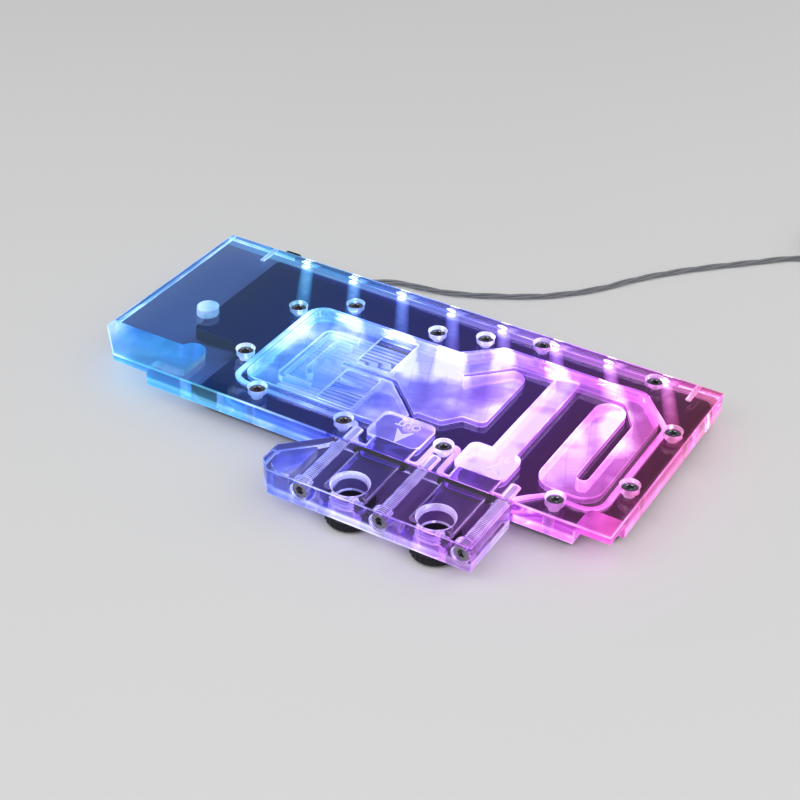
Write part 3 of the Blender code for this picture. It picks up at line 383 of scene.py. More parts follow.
# The numbers are glow, roughness, clearness, light tint, whiteness, haze and grain.
acrylic_edge = make_frost("sawn acrylic edge", 1.3, 0.07, 0.95, 0.92, 0.75, 0.5, 0.05, edge_glow_lines)
terminal_side = make_frost("terminal block side", 1.0, 0.04, 0.98, 0.85, 0.9, 0.42, 0.03, terminal_glow_lines)
acrylic_thread = make_frost("tapped acrylic", 0.8, 0.12, 0.85, 0.35, 0.8, 0.8, 0.1, thread_glow_lines)
print("acrylic finishes made")


# %% [markdown]
# ## Helpers for plain forms
#
# Nearly every piece of the block is a flat outline cut to a depth, or a turned profile. An outline
# starts as a few corner vertices, and a vertex bevel rounds each corner by its own cutter radius. A
# profile is a short chain of edges, and spin turns it about its axis.

# %% Outlines, prisms and turned pieces
def finished(mesh, sharp=30.0):
    """Smooth faces, with an edge kept sharp where they meet at more than an angle."""
    mesh.shade_smooth()
    mesh.set_sharp_from_angle(angle=math.radians(sharp))
    return mesh


def to_object(name, bm, materials):
    """Makes a bmesh in millimetres an object at the origin."""
    bmesh.ops.transform(bm, matrix=Matrix.Scale(MM, 4) @ Matrix.Translation(-ORIGIN), verts=bm.verts)
    mesh = bpy.data.meshes.new(name)
    bm.to_mesh(mesh)
    bm.free()
    for material in materials:
        mesh.materials.append(material.made)
    return shown(name, finished(mesh))


def bevelled(bm, geom, offset, segments=2, affect="EDGES"):
    bmesh.ops.bevel(
        bm, geom=geom, offset=offset, segments=segments, profile=0.5, affect=affect, material=-1
    )


def raised(bm, height):
    """Draws the flat faces of a bmesh up into a body."""
    made = bmesh.ops.extrude_face_region(bm, geom=bm.faces[:])["geom"]
    top = [v for v in made if isinstance(v, bmesh.types.BMVert)]
    bmesh.ops.translate(bm, vec=(0, 0, height), verts=top)
    bmesh.ops.recalc_face_normals(bm, faces=bm.faces)
    return bm


def prism(corners, low, high):
    """An outline from one height to another. A corner (x, y, radius) is rounded."""
    bm = bmesh.new()
    spots = [Vector((x, y, low)) for x, y, *_ in corners]
    vertices = [bm.verts.new(spot) for spot in spots]
    bm.faces.new(vertices)
    for i, (vertex, (_, _, *radius)) in enumerate(zip(vertices, corners)):
        if radius:
            before = (spots[i - 1] - spots[i]).normalized()
            after = (spots[(i + 1) % len(spots)] - spots[i]).normalized()
            bevelled(bm, [vertex], radius[0] / math.tan(before.angle(after) / 2), 6, "VERTICES")
    return raised(bm, high - low)


def level_edges(bm):
    """The edges round a prism's two ends."""
    return [e for e in bm.edges if abs(e.verts[0].co.z - e.verts[1].co.z) < 1e-6]


def lathe(profile, steps, axis=(0, 0, 1)):
    """A chain of (radius, height) points spun into a closed body about Z, then turned onto the axis."""
    bm = bmesh.new()
    chain = [bm.verts.new((radius, 0, height)) for radius, height in profile]
    edges = [bm.edges.new(pair) for pair in zip(chain, chain[1:])]
    bmesh.ops.spin(
        bm, geom=chain + edges, axis=(0, 0, 1), angle=2 * math.pi, steps=steps, use_merge=True
    )
    bmesh.ops.remove_doubles(bm, verts=bm.verts, dist=1e-4)
    rim = [e for e in bm.edges if e.is_boundary]
    if rim:
        bmesh.ops.holes_fill(bm, edges=rim, sides=0)
    bmesh.ops.recalc_face_normals(bm, faces=bm.faces)
    bmesh.ops.rotate(bm, matrix=towards(axis), verts=bm.verts)
    return bm


def towards(axis):
    """The turn that brings Z onto an axis."""
    return Vector((0, 0, 1)).rotation_difference(Vector(axis)).to_matrix()


def rod(radius, low, high):
    """The profile of a plain round rod."""
    return ((0, low), (radius, low), (radius, high), (0, high))


def moved(bm, x, y, z):
    bmesh.ops.translate(bm, vec=(x, y, z), verts=bm.verts)
    return bm


def tipped(bm, degrees=90):
    """Turned about X, so that what was raised lies along Y."""
    bmesh.ops.rotate(bm, matrix=Matrix.Rotation(math.radians(degrees), 3, "X"), verts=bm.verts)
    return bm


def join(bms):
    """Several bmeshes in one, for pieces made of separate bodies."""
    whole = bmesh.new()
    for bm in bms:
        mesh = bpy.data.meshes.new("part of a piece")
        bm.to_mesh(mesh)
        bm.free()
        whole.from_mesh(mesh)
        bpy.data.meshes.remove(mesh)
    return whole


def rectangle(left, right, near, far, *radius):
    return [(x, y, *radius) for x, y in ((left, near), (right, near), (right, far), (left, far))]


def evaluated(made):
    """A curve's surface, or a body after its modifiers, as a mesh."""
    graph = bpy.context.evaluated_depsgraph_get()
    return bpy.data.meshes.new_from_object(made.evaluated_get(graph), depsgraph=graph)


def ride(piece, *nodes, slot):
    """Says which body a piece moves with and hides the nodes that it stands for. The slot, what it is made
    of, is not used.
    """
    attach(piece, "root")
    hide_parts(*nodes)
    return piece


# %% [markdown]
# ## Lead of the lights
#
# The strip is fed by a thin three-core lead. It drops from the strip's left end behind the block and
# runs off over the table, and what the picture doesn't show is wound into a small coil with two ties
# and a plug. Each core is a tube along the same route, shifted a little sideways, and the sideways
# direction turns slowly, as twisted cores do. The route's points are those of the model.

# %% Route of the lead
LEAD_DIAMETER = 3.0
ON_FLOOR = LEAD_DIAMETER / 2
LIGHT_Z = COVER_TOP - 4.2
BOARD_FACE = COVER_WIDTH + FIT
BOARD_THICKNESS = 0.8
LEAD_BACK = BOARD_FACE + BOARD_THICKNESS + FIT + 1.6
LEAD_START = 34.3
COIL_X, COIL_Y, COIL_RADIUS, COIL_ACROSS = 239.0, 270.0, 16.5, 6.3
COIL_Z = 1.3 + COIL_ACROSS / 2
BESIDE_COIL = COIL_Y - COIL_RADIUS - math.sqrt(4.95**2 - 2.95**2)
FLOOR_ROUTE = (
    *((LEAD_START + 27, LEAD_BACK + 16.6), (73, 130.5), (88, 133), (101, 137), (116, 144.5), (131, 154)),
    *((141, 163), (151, 174.5), (162.5, 192), (175.5, 208), (189, 222), (201.5, 234)),
    *((COIL_X - 27, BESIDE_COIL - 5.3), (COIL_X - 20.8, BESIDE_COIL - 0.9)),
    *((COIL_X - 13.5, BESIDE_COIL + 1.1), (COIL_X - 7, BESIDE_COIL + 0.7), (COIL_X, BESIDE_COIL)),
)
LEAD_POINTS = (
    (LEAD_START, LEAD_BACK, LIGHT_Z),
    (LEAD_START + 8, LEAD_BACK, LIGHT_Z),
    (LEAD_START + 13, LEAD_BACK + 1.6, LIGHT_Z - 3.2),
    (LEAD_START + 17, LEAD_BACK + 5.4, LIGHT_Z - 8.0),
    (LEAD_START + 21, LEAD_BACK + 10.6, 2.3),
    *((x, y, ON_FLOOR) for x, y in FLOOR_ROUTE),
)


def smooth_line(points):
    """A smooth curve through the points."""
    line = []
    last = len(points) - 1
    for i in range(last):
        a, b, c, d = (Vector(points[min(max(k, 0), last)]) for k in (i - 1, i, i + 1, i + 2))
        for step in range(8):
            t = step / 8
            bend = 2 * a - 5 * b + 4 * c - d
            twist = 3 * b - a - 3 * c + d
            line.append(b + 0.5 * t * ((c - a) + t * (bend + t * twist)))
    line.append(Vector(points[last]))
    return line


def length_of(line):
    return sum((b - a).length for a, b in zip(line, line[1:]))


print("lead to its coil:", round(length_of(smooth_line(LEAD_POINTS))), "mm")


# %% Coil, and the three cores
STACKED = 1.55
COIL_KEYS = (
    (0.0, COIL_Y - COIL_RADIUS - BESIDE_COIL, ON_FLOOR - COIL_Z),
    (0.2, STACKED, -STACKED),
    (0.75, STACKED, -STACKED),
    (1.0, -STACKED, -STACKED),
    (1.5, -STACKED, -STACKED),
    (1.75, -STACKED, STACKED),
    (2.25, -STACKED, STACKED),
    (2.5, STACKED, STACKED),
    (3.28, STACKED, STACKED),
)
TAIL_POINTS = (
    (COIL_X + 20.6, COIL_Y + 8.5, 5.2),
    (COIL_X + 22.6, COIL_Y + 14.0, 3.4),
    (COIL_X + 22.4, COIL_Y + 19.5, 2.2),
    (COIL_X + 16.4, COIL_Y + 24.2, 1.7),
)
PER_TURN = 40
CORE_DIAMETER, CORE_TWIST = 1.1, 46.0


def coil_line():
    """Turns that lie beside and on each other, from where the lead reaches the ring."""
    line = []
    for k in range(1, int(COIL_KEYS[-1][0] * PER_TURN) + 1):
        turns = k / PER_TURN
        before, after = next(pair for pair in zip(COIL_KEYS, COIL_KEYS[1:]) if pair[1][0] >= turns)
        share = (turns - before[0]) / (after[0] - before[0])
        share = share * share * (3 - 2 * share)
        out, up = (before[i] + (after[i] - before[i]) * share for i in (1, 2))
        spoke = Matrix.Rotation(2 * math.pi * turns, 3, "Z") @ Vector((0, -COIL_RADIUS - out, 0))
        line.append(Vector((COIL_X, COIL_Y, COIL_Z + up)) + spoke)
    return line


def cords(name, lines, radius, material, closed=False):
    """Round cords along lines in millimetres, as one mesh."""
    curve = bpy.data.curves.new(name, "CURVE")
    curve.dimensions = "3D"
    curve.bevel_depth, curve.bevel_resolution = radius * MM, 3
    curve.use_fill_caps = not closed
    for line in lines:
        spline = curve.splines.new("POLY")
        spline.points.add(len(line) - 1)
        spline.use_cyclic_u = closed
        for point, spot in zip(spline.points, line):
            point.co = (*place(*spot), 1)
    carrier = shown(name, curve)
    mesh = evaluated(carrier)
    bpy.data.objects.remove(carrier)
    mesh.materials.clear()
    mesh.materials.append(material.made)
    mesh.shade_smooth()
    return shown(name, mesh)


def beside(line, distance, twist):
    """One core's own line, wound slowly round the middle of the lead."""
    core, travelled = [], 0.0
    for i, here in enumerate(line):
        ahead = (line[min(i + 1, len(line) - 1)] - line[max(i - 1, 0)]).normalized()
        across = ahead.cross(Vector((0, 0, 1))).normalized()
        travelled += (here - line[max(i - 1, 0)]).length
        angle = twist + 2 * math.pi * travelled / CORE_TWIST
        side = across * math.cos(angle) + across.cross(ahead) * math.sin(angle)
        core.append(here + side * distance)
    return core


route = smooth_line(LEAD_POINTS)
coil = coil_line()
tail = smooth_line([coil[-2], coil[-1], *TAIL_POINTS])[9:]
whole = route + coil[2:] + tail
print("whole lead:", round(length_of(whole)), "mm")


# %% [markdown]
# ## Soft plastics, rubber and metals
#
# None of these is one flat colour. Lead jackets carry a faint bloom, rubber is dull and a little
# dusty, polished screws mirror the lamps, and nickel shows the mill's path below it.

# %% Lead, rubber, plastic and metal finishes
def make_soft(name, dark, light, dust, grain, rough, strength):
    """A lead's jacket or rubber. The dust is a noise's scale and detail."""
    material = Material(name)
    bloom = material.noise(*dust)
    return material.set(
        Base_Color=material.mix(bloom, dark, light),
        Roughness=bloom * 0.2 + rough,
        Normal=material.bump(material.noise(grain, 2.0), 0.00003, strength),
    )


def make_plastic(name, dark, light, rough=0.38):
    material = Material(name)
    grain = material.noise(1100.0, 2.0)
    return material.set(
        Base_Color=material.mix(material.noise(90.0), dark, light),
        Roughness=grain * 0.16 + rough,
        Normal=material.bump(grain, 0.00003, 0.7),
    )


def make_metal(name, dark, light, rough):
    material = Material(name)
    wear = material.noise(60.0, 4.0)
    lines = material.noise(300.0, 3.0)
    return material.set(
        Base_Color=material.mix(wear, dark, light),
        Metallic=1.0,
        Roughness=lines * 0.14 + rough,
        Normal=material.bump(lines, 0.00002, 0.5),
    )


def make_nickel():
    """Polished nickel, painted dark as a mirror of a dark room, and painted lit on top in the light's colour.
    """
    material = Material("nickel plating")
    wear = material.noise(60.0, 4.0)
    lines = material.noise(300.0, 3.0, (0.1, 1, 1))
    # Painted shade: the top's base is near black, for the dark room that the nickel mirrors; the wear only
    # varies it.
    base = material.mix(wear, (0.015, 0.016, 0.028), (0.045, 0.045, 0.07))
    top = ((material.axis("Z") - 6.2) * 4.0).clamped()
    lit = material.mix(0.06, base, glow_colour(material))
    # Painted light on the top face: a colour tinted by the light and a faint glow. The sides keep a darkened
    # nickel grey, also painted shade.
    return material.set(
        Base_Color=material.mix(top, (0.17, 0.165, 0.16), lit),
        Metallic=1.0,
        Roughness=lines * 0.1 + 0.05,
        Emission_Color=dimmed(material, deep_colour(material), top),
        Emission_Strength=0.13,
        Normal=material.bump(lines, 0.00002, 0.5),
    )


def make_fin_metal():
    """The fins' edges, which the light in the coolant space makes bright."""
    material = Material("lit fins")
    # Painted light: patches of glow in the colour and the emission, stronger on the fins' tops.
    glow_patches = ((material.noise(70.0, 3.0, (0.3, 1, 1)) - 0.35) * 3.0).clamped()
    colour = material.mix(glow_patches * 0.6, glow_colour(material), (0.85, 0.95, 1.0))
    top = ((material.axis("Z") - 6.4) * 4.0).clamped()
    return material.set(
        Base_Color=material.mix(glow_patches, (0.10, 0.11, 0.16), (0.22, 0.24, 0.32)),
        Metallic=1.0,
        Roughness=0.25,
        Emission_Color=dimmed(material, colour, (glow_patches * 0.5 + 0.5) * (top * 0.7 + 0.3)),
        Emission_Strength=1.9,
    )


JACKET_GREYS = ((0.16, 0.17, 0.19), (0.27, 0.28, 0.30))
RUBBER_BLACKS = ((0.010, 0.010, 0.012), (0.035, 0.035, 0.038))
jacket = make_soft("grey lead jacket", *JACKET_GREYS, (140.0, 3.0), 900.0, 0.42, 0.5)
rubber = make_soft("black rubber", *RUBBER_BLACKS, (220.0, 4.0), 1400.0, 0.45, 0.6)
black_plastic = make_plastic("black plastic", (0.012, 0.012, 0.014), (0.03, 0.03, 0.034))
tie_nylon = make_plastic("black nylon", (0.014, 0.014, 0.015), (0.028, 0.028, 0.03), 0.45)
# The polished steel is darker than steel, a painted shade for the dark room that it mirrors.
screw_steel = make_metal("polished steel", (0.16, 0.155, 0.18), (0.34, 0.33, 0.38), 0.06)
plug_metal = make_metal("black anodised metal", (0.018, 0.018, 0.02), (0.05, 0.05, 0.055), 0.3)
pin_steel = make_metal("pin steel", (0.42, 0.42, 0.44), (0.62, 0.62, 0.64), 0.22)
nickel = make_nickel()
fin_metal = make_fin_metal()
board = make_plastic("strip board", (0.012, 0.012, 0.013), (0.03, 0.032, 0.034), 0.4)
print("finishes made:", len(bpy.data.materials))


# %% [markdown]
# ## The lead, made as a cord
#
# The coil, the ties and the connector go with it.

# %% Lead, ties and connector
def make_tie(name, x):
    """A flat nylon tie round the bundle, with its lock on top."""
    half = COIL_ACROSS / 2 + FIT
    ring = prism(rectangle(-half - 1, half + 1, -half - 1, half + 1, 2.6), -2, 2)
    inner = prism(rectangle(-half, half, -half, half, 2.0), -3, 3)
    lock = prism(rectangle(-2.6, 2.6, half + 0.4, half + 2.4, 0.5), -2.6, 2.6)
    for bm in (ring, inner, lock):
        moved(tipped(bm), x, COIL_Y, COIL_Z)
    body = to_object(name, join((ring, lock)), (tie_nylon,))
    return carve(body, [to_object("tie opening", inner, (tie_nylon,))])


def carve(body, tools, sharp=30.0):
    """Cuts bodies out of a piece. Each cut face keeps its cutter's finish."""
    group = bpy.data.collections.new("cutters")
    for tool in tools:
        group.objects.link(tool)
    cut = body.modifiers.new("cuts", "BOOLEAN")
    cut.operation, cut.solver = "DIFFERENCE", "EXACT"
    cut.operand_type, cut.collection = "COLLECTION", group
    cut.material_mode = "TRANSFER"
    return baked(body, tools, sharp)


def baked(body, helpers, sharp=30.0):
    """Applies the modifiers of a piece and removes the helpers that they used."""
    mesh = evaluated(body)
    body.modifiers.clear()
    body.data = finished(mesh, sharp)
    for helper in helpers:
        bpy.data.objects.remove(helper)
    return body


def make_connector():
    """A flat three-way connector, open at its far end."""
    left, near = COIL_X + 2, COIL_Y + COIL_RADIUS + COIL_ACROSS / 2 + FIT
    shell = prism(rectangle(left, left + 14, near, near + 8.6, 0.8), 0.0, 3.4)
    bevelled(shell, [e for e in level_edges(shell) if e.calc_face_angle(0) > 0.8], 0.35)
    body = to_object("lead_connector", shell, (black_plastic,))
    ways = [rectangle(left - 1, left + 6, near + y - 0.9, near + y + 0.9) for y in (1.7, 4.3, 6.9)]
    ribs = [rectangle(left + x, left + x + 0.6, near + 1.5, near + 7.1) for x in (7.5, 9.0, 10.5)]
    tools = [prism(way, 0.9, 2.5) for way in ways] + [prism(rib, 3.1, 4.0) for rib in ribs]
    return carve(body, [to_object("connector opening", tool, (black_plastic,)) for tool in tools])


strands = [beside(whole, CORE_DIAMETER / math.sqrt(3), k * 2 * math.pi / 3) for k in range(3)]
lead = cords("three_core_lead", strands, CORE_DIAMETER / 2, jacket)
ride(lead, "led_lead", "led_lead_coil", slot="lead")
for side, x in (("left", COIL_X - COIL_RADIUS), ("right", COIL_X + COIL_RADIUS)):
    ride(make_tie(f"{side}_coil_tie", x), f"coil_tie_{side}", slot="nylon")
connector = ride(make_connector(), "led_connector", slot="black_plastic")
length_of(whole) * MM
print("lead faces:", len(lead.data.polygons))


# %% [markdown]
# ## Cover
#
# The real cover is one plate of clear acrylic with everything milled into it. The same is done here:
# a bevelled plate, and bodies for each cutter's path that take the material away. Every cutter
# carries its own finish, so the ceilings of the chambers come out hazy and their walls frosted, as the
# sides and the end of a milling cutter leave them; the walls' brightness is painted glow.

# %% Coolant chambers
CEILING = COVER_TOP - 3.8
PORT_CEILING = COVER_TOP - 2.2
WINDOW_CEILING = COVER_TOP - 2.6
WALL = 2.2
BELOW = COVER_BOTTOM - 2.0

CHAMBERS = {
    "processor chamber": ((65.8, 18.2, 6), (131, 18.2), (139, 32), (146, 32), (146, 76.2), (65.8, 76.2, 6)),
    "power chamber": (
        *((140, 32), (149.3, 32, 2), (155, 39, 2)),
        *((164.5, 39, 3), (164.5, 77.4, 6), (140, 77.4)),
    ),
    "far band": (
        *((130, 62.2), (142, 62.2), (157.5, 80.1, 2), (205, 80.1, 3), (213.7, 68), (213.7, 60)),
        *((221.6, 60), (221.6, 75.7, 5), (208, 88.9, 5), (146.2, 88.9, 3), (133.5, 76.2), (130, 75.2)),
    ),
    "return channel": (
        *((196, 17, 8), (221.6, 17, 8), (221.6, 62), (213.7, 62)),
        *((213.7, 26.7, 2.3), (208.8, 26.7, 2.3), (208.8, 77.1, 6), (196, 77.1, 6)),
    ),
}
WALLS = (
    ("flow divider", ((96, 46), (120.3, 46, 3), (138.5, 28.7, 2), (142, 28.7)), COVER_BOTTOM - 4),
    ("power divider", ((141.8, 63.6), (157.5, 79.1)), COVER_BOTTOM - 4),
    ("outer rib", ((93.1, 62.5), (78.6, 62.5, 2), (78.6, 26.2, 2), (93.1, 26.2)), CEILING - 2.6),
    ("inner rib", ((92.6, 57.6), (86, 57.6, 2), (86, 36, 1.5), (89.2, 32.8)), CEILING - 2.6),
)
print("chambers:", len(CHAMBERS), "walls:", len(WALLS))


# %% Cutters that carry a finish
def cutter(bm, walls, ends=None):
    """A body to cut with. Its upright faces have one finish, and its ends may have another."""
    for face in bm.faces:
        face.material_index = 1 if ends and abs(face.normal.z) > 0.7 else 0
    return to_object("cutter", bm, (walls, ends) if ends else (walls,))


def band(corners, width, low, high, closed=False):
    """A strip of even width along a path: the path's edges pushed out to both sides, then raised."""
    bm = bmesh.new()
    spots = rounded_path(corners, closed)
    count = len(spots)
    sides = []
    for side in (1, -1):
        edge = []
        for i, here in enumerate(spots):
            before = here - spots[i - 1] if closed or i else spots[1] - here
            after = spots[(i + 1) % count] - here if closed or i < count - 1 else before
            normals = [Vector((-d.y, d.x)).normalized() for d in (before, after)]
            mitre = (normals[0] + normals[1]).normalized()
            edge.append(here + mitre * (side * width / 2 / mitre.dot(normals[0])))
        sides.append([bm.verts.new((p.x, p.y, low)) for p in edge])
    for i in range(count if closed else count - 1):
        j = (i + 1) % count
        bm.faces.new((sides[0][i], sides[0][j], sides[1][j], sides[1][i]))
    return raised(bm, high - low)


def rounded_path(corners, closed):
    """Corners (x, y, radius) of a path as points, each corner an arc."""
    path = []
    last = len(corners) - 1
    for i, (x, y, *radius) in enumerate(corners):
        here = Vector((x, y))
        if not radius or (not closed and i in (0, last)):
            path.append(here)
            continue
        before = (Vector(corners[i - 1][:2]) - here).normalized()
        after = (Vector(corners[(i + 1) % len(corners)][:2]) - here).normalized()
        half = before.angle(after) / 2
        centre = here + (before + after).normalized() * radius[0] / math.sin(half)
        start, end = (here + way * radius[0] / math.tan(half) - centre for way in (before, after))
        turn = math.atan2(start.x * end.y - start.y * end.x, start.dot(end))
        path += [centre + Matrix.Rotation(turn * k / 7, 2) @ start for k in range(8)]
    return path


def lathe_cut(profile, spots, finish, steps=40, axis=(0, 0, 1)):
    """The same turned body at several places, as one cutter."""
    return cutter(join([moved(lathe(profile, steps, axis), *spot) for spot in spots]), finish)


print("cutters ready")


# %% Coolant space
WALL_STOPS = ((0.0, 0.8), (0.1, 0.45), (0.3, 0.25), (0.7, 0.35), (0.92, 1.0))


def wall_light(material):
    """Brightest where a wall meets its ceiling and its floor, and in the beams of the lights."""
    return by_height(COVER_BOTTOM, CEILING, WALL_STOPS)(material) * beams(material, 90.0, 0.75, 1.2)


def inlet_light(material):
    """The inlet's pocket and channel shine more than the outlet's pocket."""
    return ((material.layout("X") - 152.0) / 12.0).clamped() * 0.85 + 0.45


def shelf_light(material):
    """Brightest along the cover's outer edges."""
    rim = (1.0 - material.layout("X") * 0.1).clamped() + (1.0 - material.layout("Y") * 0.25).clamped()
    return rim.clamped() * 0.6 + 0.5


def rings(material):
    """Painted glow in stripes along a bore, where the drill's rings catch the light."""
    wave = (material.axis("Y") * (2 * math.pi / 0.9)).math("SINE")
    return wave * 0.6 + 0.7


def crossed(material):
    """The lights' painted beams, dimmed in faint crossing lines left by the cutter."""
    lines = beams(material)
    for across, along in ((0.14, 0.05), (-0.05, 0.11)):
        run = material.axis("X") * across + material.axis("Y") * along
        wave = (run * math.pi + material.noise(40.0, 1.0) * 2.0).math("SINE").math("ABSOLUTE")
        lines = lines * ((wave * 9.0).clamped() * 0.16 + 0.84)
    return lines


chamber_ceiling = make_frost("chamber ceiling", 1.55, 0.15, 0.93, 0.5, 0.8, 0.7, 0.1, crossed)
window_ceiling = make_frost("window ceiling", 0.25, 0.03, 0.99, 0.3, 0.8, 0.9, 0.03)
chamber_wall = make_frost("chamber wall", 2.2, 0.15, 0.9, 0.5, 0.7, 0.75, 0.1, wall_light)
port_ceiling = make_frost("port pocket ceiling", 1.15, 0.22, 0.85, 0.45, 0.75, 0.7, 0.1, inlet_light)
duct_wall = make_frost("duct wall", 0.05, 0.04, 0.98, 0.8, 0.6, 0.55, 0.03)
recess_frost = make_frost("terminal recess", 0.3, 0.1, 0.95, 0.75, 0.7, 0.6, 0.05)
cup_frost = make_frost("frosted counterbore", 0.75, 0.3, 0.75, 0.3, 0.8, 0.7, 0.1)
bore_frost = make_frost("screw bore", 0.75, 0.06, 0.92, 0.35, 0.8, 0.75, 0.03, rings)
mark_frost = make_frost("engraved mark", 0.6, 0.5, 0.4, 0.2, 0.9, 0.85, 0.15)


def merge(body, others, operation, use_self=False):
    """Adds bodies to a piece one by one, or takes them away."""
    for other in others:
        joined = body.modifiers.new("join", "BOOLEAN")
        joined.operation, joined.solver, joined.object = operation, "EXACT", other
        joined.material_mode, joined.use_self = "TRANSFER", use_self
    return baked(body, others)


def make_coolant_cutter():
    finishes = (chamber_wall, chamber_ceiling)
    parts = [cutter(prism(c, BELOW, CEILING), *finishes) for c in CHAMBERS.values()]
    space = merge(parts[0], parts[1:], "UNION")
    walls = [cutter(band(c, WALL, low, CEILING + 2), *finishes) for _, c, low in WALLS]
    return merge(space, walls, "DIFFERENCE")


def pocket(corners, ceiling, finish):
    return cutter(prism(rectangle(*corners), BELOW, ceiling), chamber_wall, finish)


def duct(x, start, length):
    """A racetrack channel that runs along Y."""
    bm = prism(rectangle(-9.25, 9.25, -2.3, 2.3, 1.4), 0, length)
    return cutter(moved(tipped(bm, -90), x, start, DUCT_Z), duct_wall)


PORT_X = (142.0, 178.0)
PORT_Y = -22.0
WINDOWS = ((100, 116, 19.4, 43.4, 1.2), (100, 116, 48.6, 73.2, 1.2))
PORT_POCKETS = ((128.4, 151.4, 9.5, 26.3, 3), (166.4, 188, 9.5, 26.6, 3.5), (174.6, 184.4, 21.6, 82.6, 1.5))
pockets = [pocket(corners, WINDOW_CEILING, window_ceiling) for corners in WINDOWS]
pockets += [pocket(corners, PORT_CEILING, port_ceiling) for corners in PORT_POCKETS]
ducts = [duct(x, -2, 14.5) for x in PORT_X]
coolant = [make_coolant_cutter(), *pockets, *ducts]
print("coolant space cutters:", len(coolant))


# %% Shelves, screw holes, gasket groove and light groove
COVER_SCREWS = (
    *((58.4, 31.5), (58.4, 70.5), (78, 11.5), (118, 11.5), (78, 84.5), (118, 84.5), (137, 91)),
    *((159, 99.3), (209, 99.3), (229, 71), (229, 31.5), (209, 10.5), (159, 17)),
)
TERMINAL_SCREW_X = (125.0, 159.0, 192.7)
TERMINAL_SCREW_Z = COVER_TOP - 5.1
GASKET_PATH = (
    *((62.6, 15.6, 7), (120.6, 15.6, 2), (127.3, 5.5, 3), (154.6, 5.5, 2.5), (154.6, 22, 2.5)),
    *((163.4, 22, 2.5), (163.4, 5.5, 2.5), (193.5, 5.5, 3), (204, 14.5, 3), (224.8, 14.5, 8)),
    *((224.8, 75, 6), (208, 91.9, 5), (146, 91.9, 3), (131.8, 79, 3), (62.6, 79, 7)),
)
ALONG_Y = (0, 1, 0)
COUNTERBORE_FLOOR = 11.2
SHELF_ROOF = COVER_TOP - 3.3
PIN_X = (23.0, 225.0)

shelf_frost = make_frost("milled shelf", 1.1, 0.2, 0.85, 0.9, 0.6, 0.4, 0.15, shelf_light)


def light_spots(material):
    """A bright spot before each light, on the groove's wall."""
    aside, _, inside = from_lights(material)
    height = material.axis("Z") - LIGHT_Z
    far = (aside * aside + height * height * 1.6).math("SQRT")
    return (1.7 - far * 0.6).clamped() * inside * 3.0 + 0.07


def make_underside():
    """The cover's polished underside, with painted reflections of the lights as spots, streaks and lines, as
    the plate just below would mirror them.
    """
    material = Material("lit underside")
    aside, depth, inside = from_lights(material)
    flat = (depth - 1.4) * 1.3
    spot = (2.2 - (aside * aside + flat * flat).math("SQRT")).clamped() * inside
    streak = beams(material, 40.0, 0.0, 0.36, 0.02) * (material.noise(240.0, 4.0) * 0.8 + 0.5)
    strip = (4.6 - depth).clamped() * ((material.axis("Y") * 5.0).math("SINE") * 0.06 + 0.12)
    level = (spot + streak + strip + 0.01).clamped()
    colour = material.mix(level * 0.9, glow_colour(material), (0.92, 0.96, 1.0))
    material.set(
        # Its colour is pulled to the light's deep colour and dimmed: painted light colour and painted shade
        # on what is seen through it.
        Base_Color=dimmed(material, tinted(material, 0.9), 0.36),
        Roughness=0.03,
        IOR=1.49,
        Transmission_Weight=1.0,
        Emission_Color=dimmed(material, colour, level),
        Emission_Strength=3.0,
        Normal=material.bump(material.noise(26.0, 2.0), 0.00005, 0.3),
    )
    return material.pass_lamps(0.9)


lit_groove = make_frost("lit groove", 4.0, 0.06, 0.95, 0.4, 0.9, 0.9, 0.03, light_spots)
holes = [(x, y, 0) for x, y in COVER_SCREWS]
left_shelf = ((-2, -2), (32, -2), (32, 7.2), (45.5, 7.2, 2), (45.5, 22), (-2, 22))
right_shelf = ((221.5, -2), (238, -2), (238, 13), (221.5, 13, 3))
counterbore = (*rod(3.75, COUNTERBORE_FLOOR, 16.2)[:3], (4.6, 17.05), (0, 17.05))
terminal_taps = [(x, 0, TERMINAL_SCREW_Z) for x in TERMINAL_SCREW_X]
pin_holes = [(x, 95, LIGHT_Z) for x in PIN_X]
others = [
    cutter(prism(left_shelf, BELOW, SHELF_ROOF), shelf_frost),
    cutter(prism(right_shelf, BELOW, SHELF_ROOF), shelf_frost),
    lathe_cut(rod(5.8, BELOW, SHELF_ROOF), [(39.7, 20.2, 0)], shelf_frost),
    lathe_cut(((0, BELOW), (4.7, BELOW), (4.7, 14.9), (4.3, 15.3), (0, 15.3)), [(26, 50.4, 0)], cup_frost),
    cutter(band(GASKET_PATH, 2.5, BELOW, 8.6, True), chamber_wall, chamber_ceiling),
    lathe_cut(rod(2.3, BELOW, 12.0), holes, cup_frost, 24),
    lathe_cut(counterbore, holes, cup_frost),
    lathe_cut(((0, -2), (2.3, -2), (2.3, 11.2), (0, 12.4)), terminal_taps, bore_frost, 24, ALONG_Y),
    lathe_cut(rod(1.2, 0, 12), pin_holes, cup_frost, 20, ALONG_Y),
    cutter(prism(rectangle(34.5, 217.3, 103.7, 107), 9.55, 15.05), lit_groove),
]
print("other cutters:", len(others))


# %% Engraved words and arrows
MARK_DEPTH = 0.35


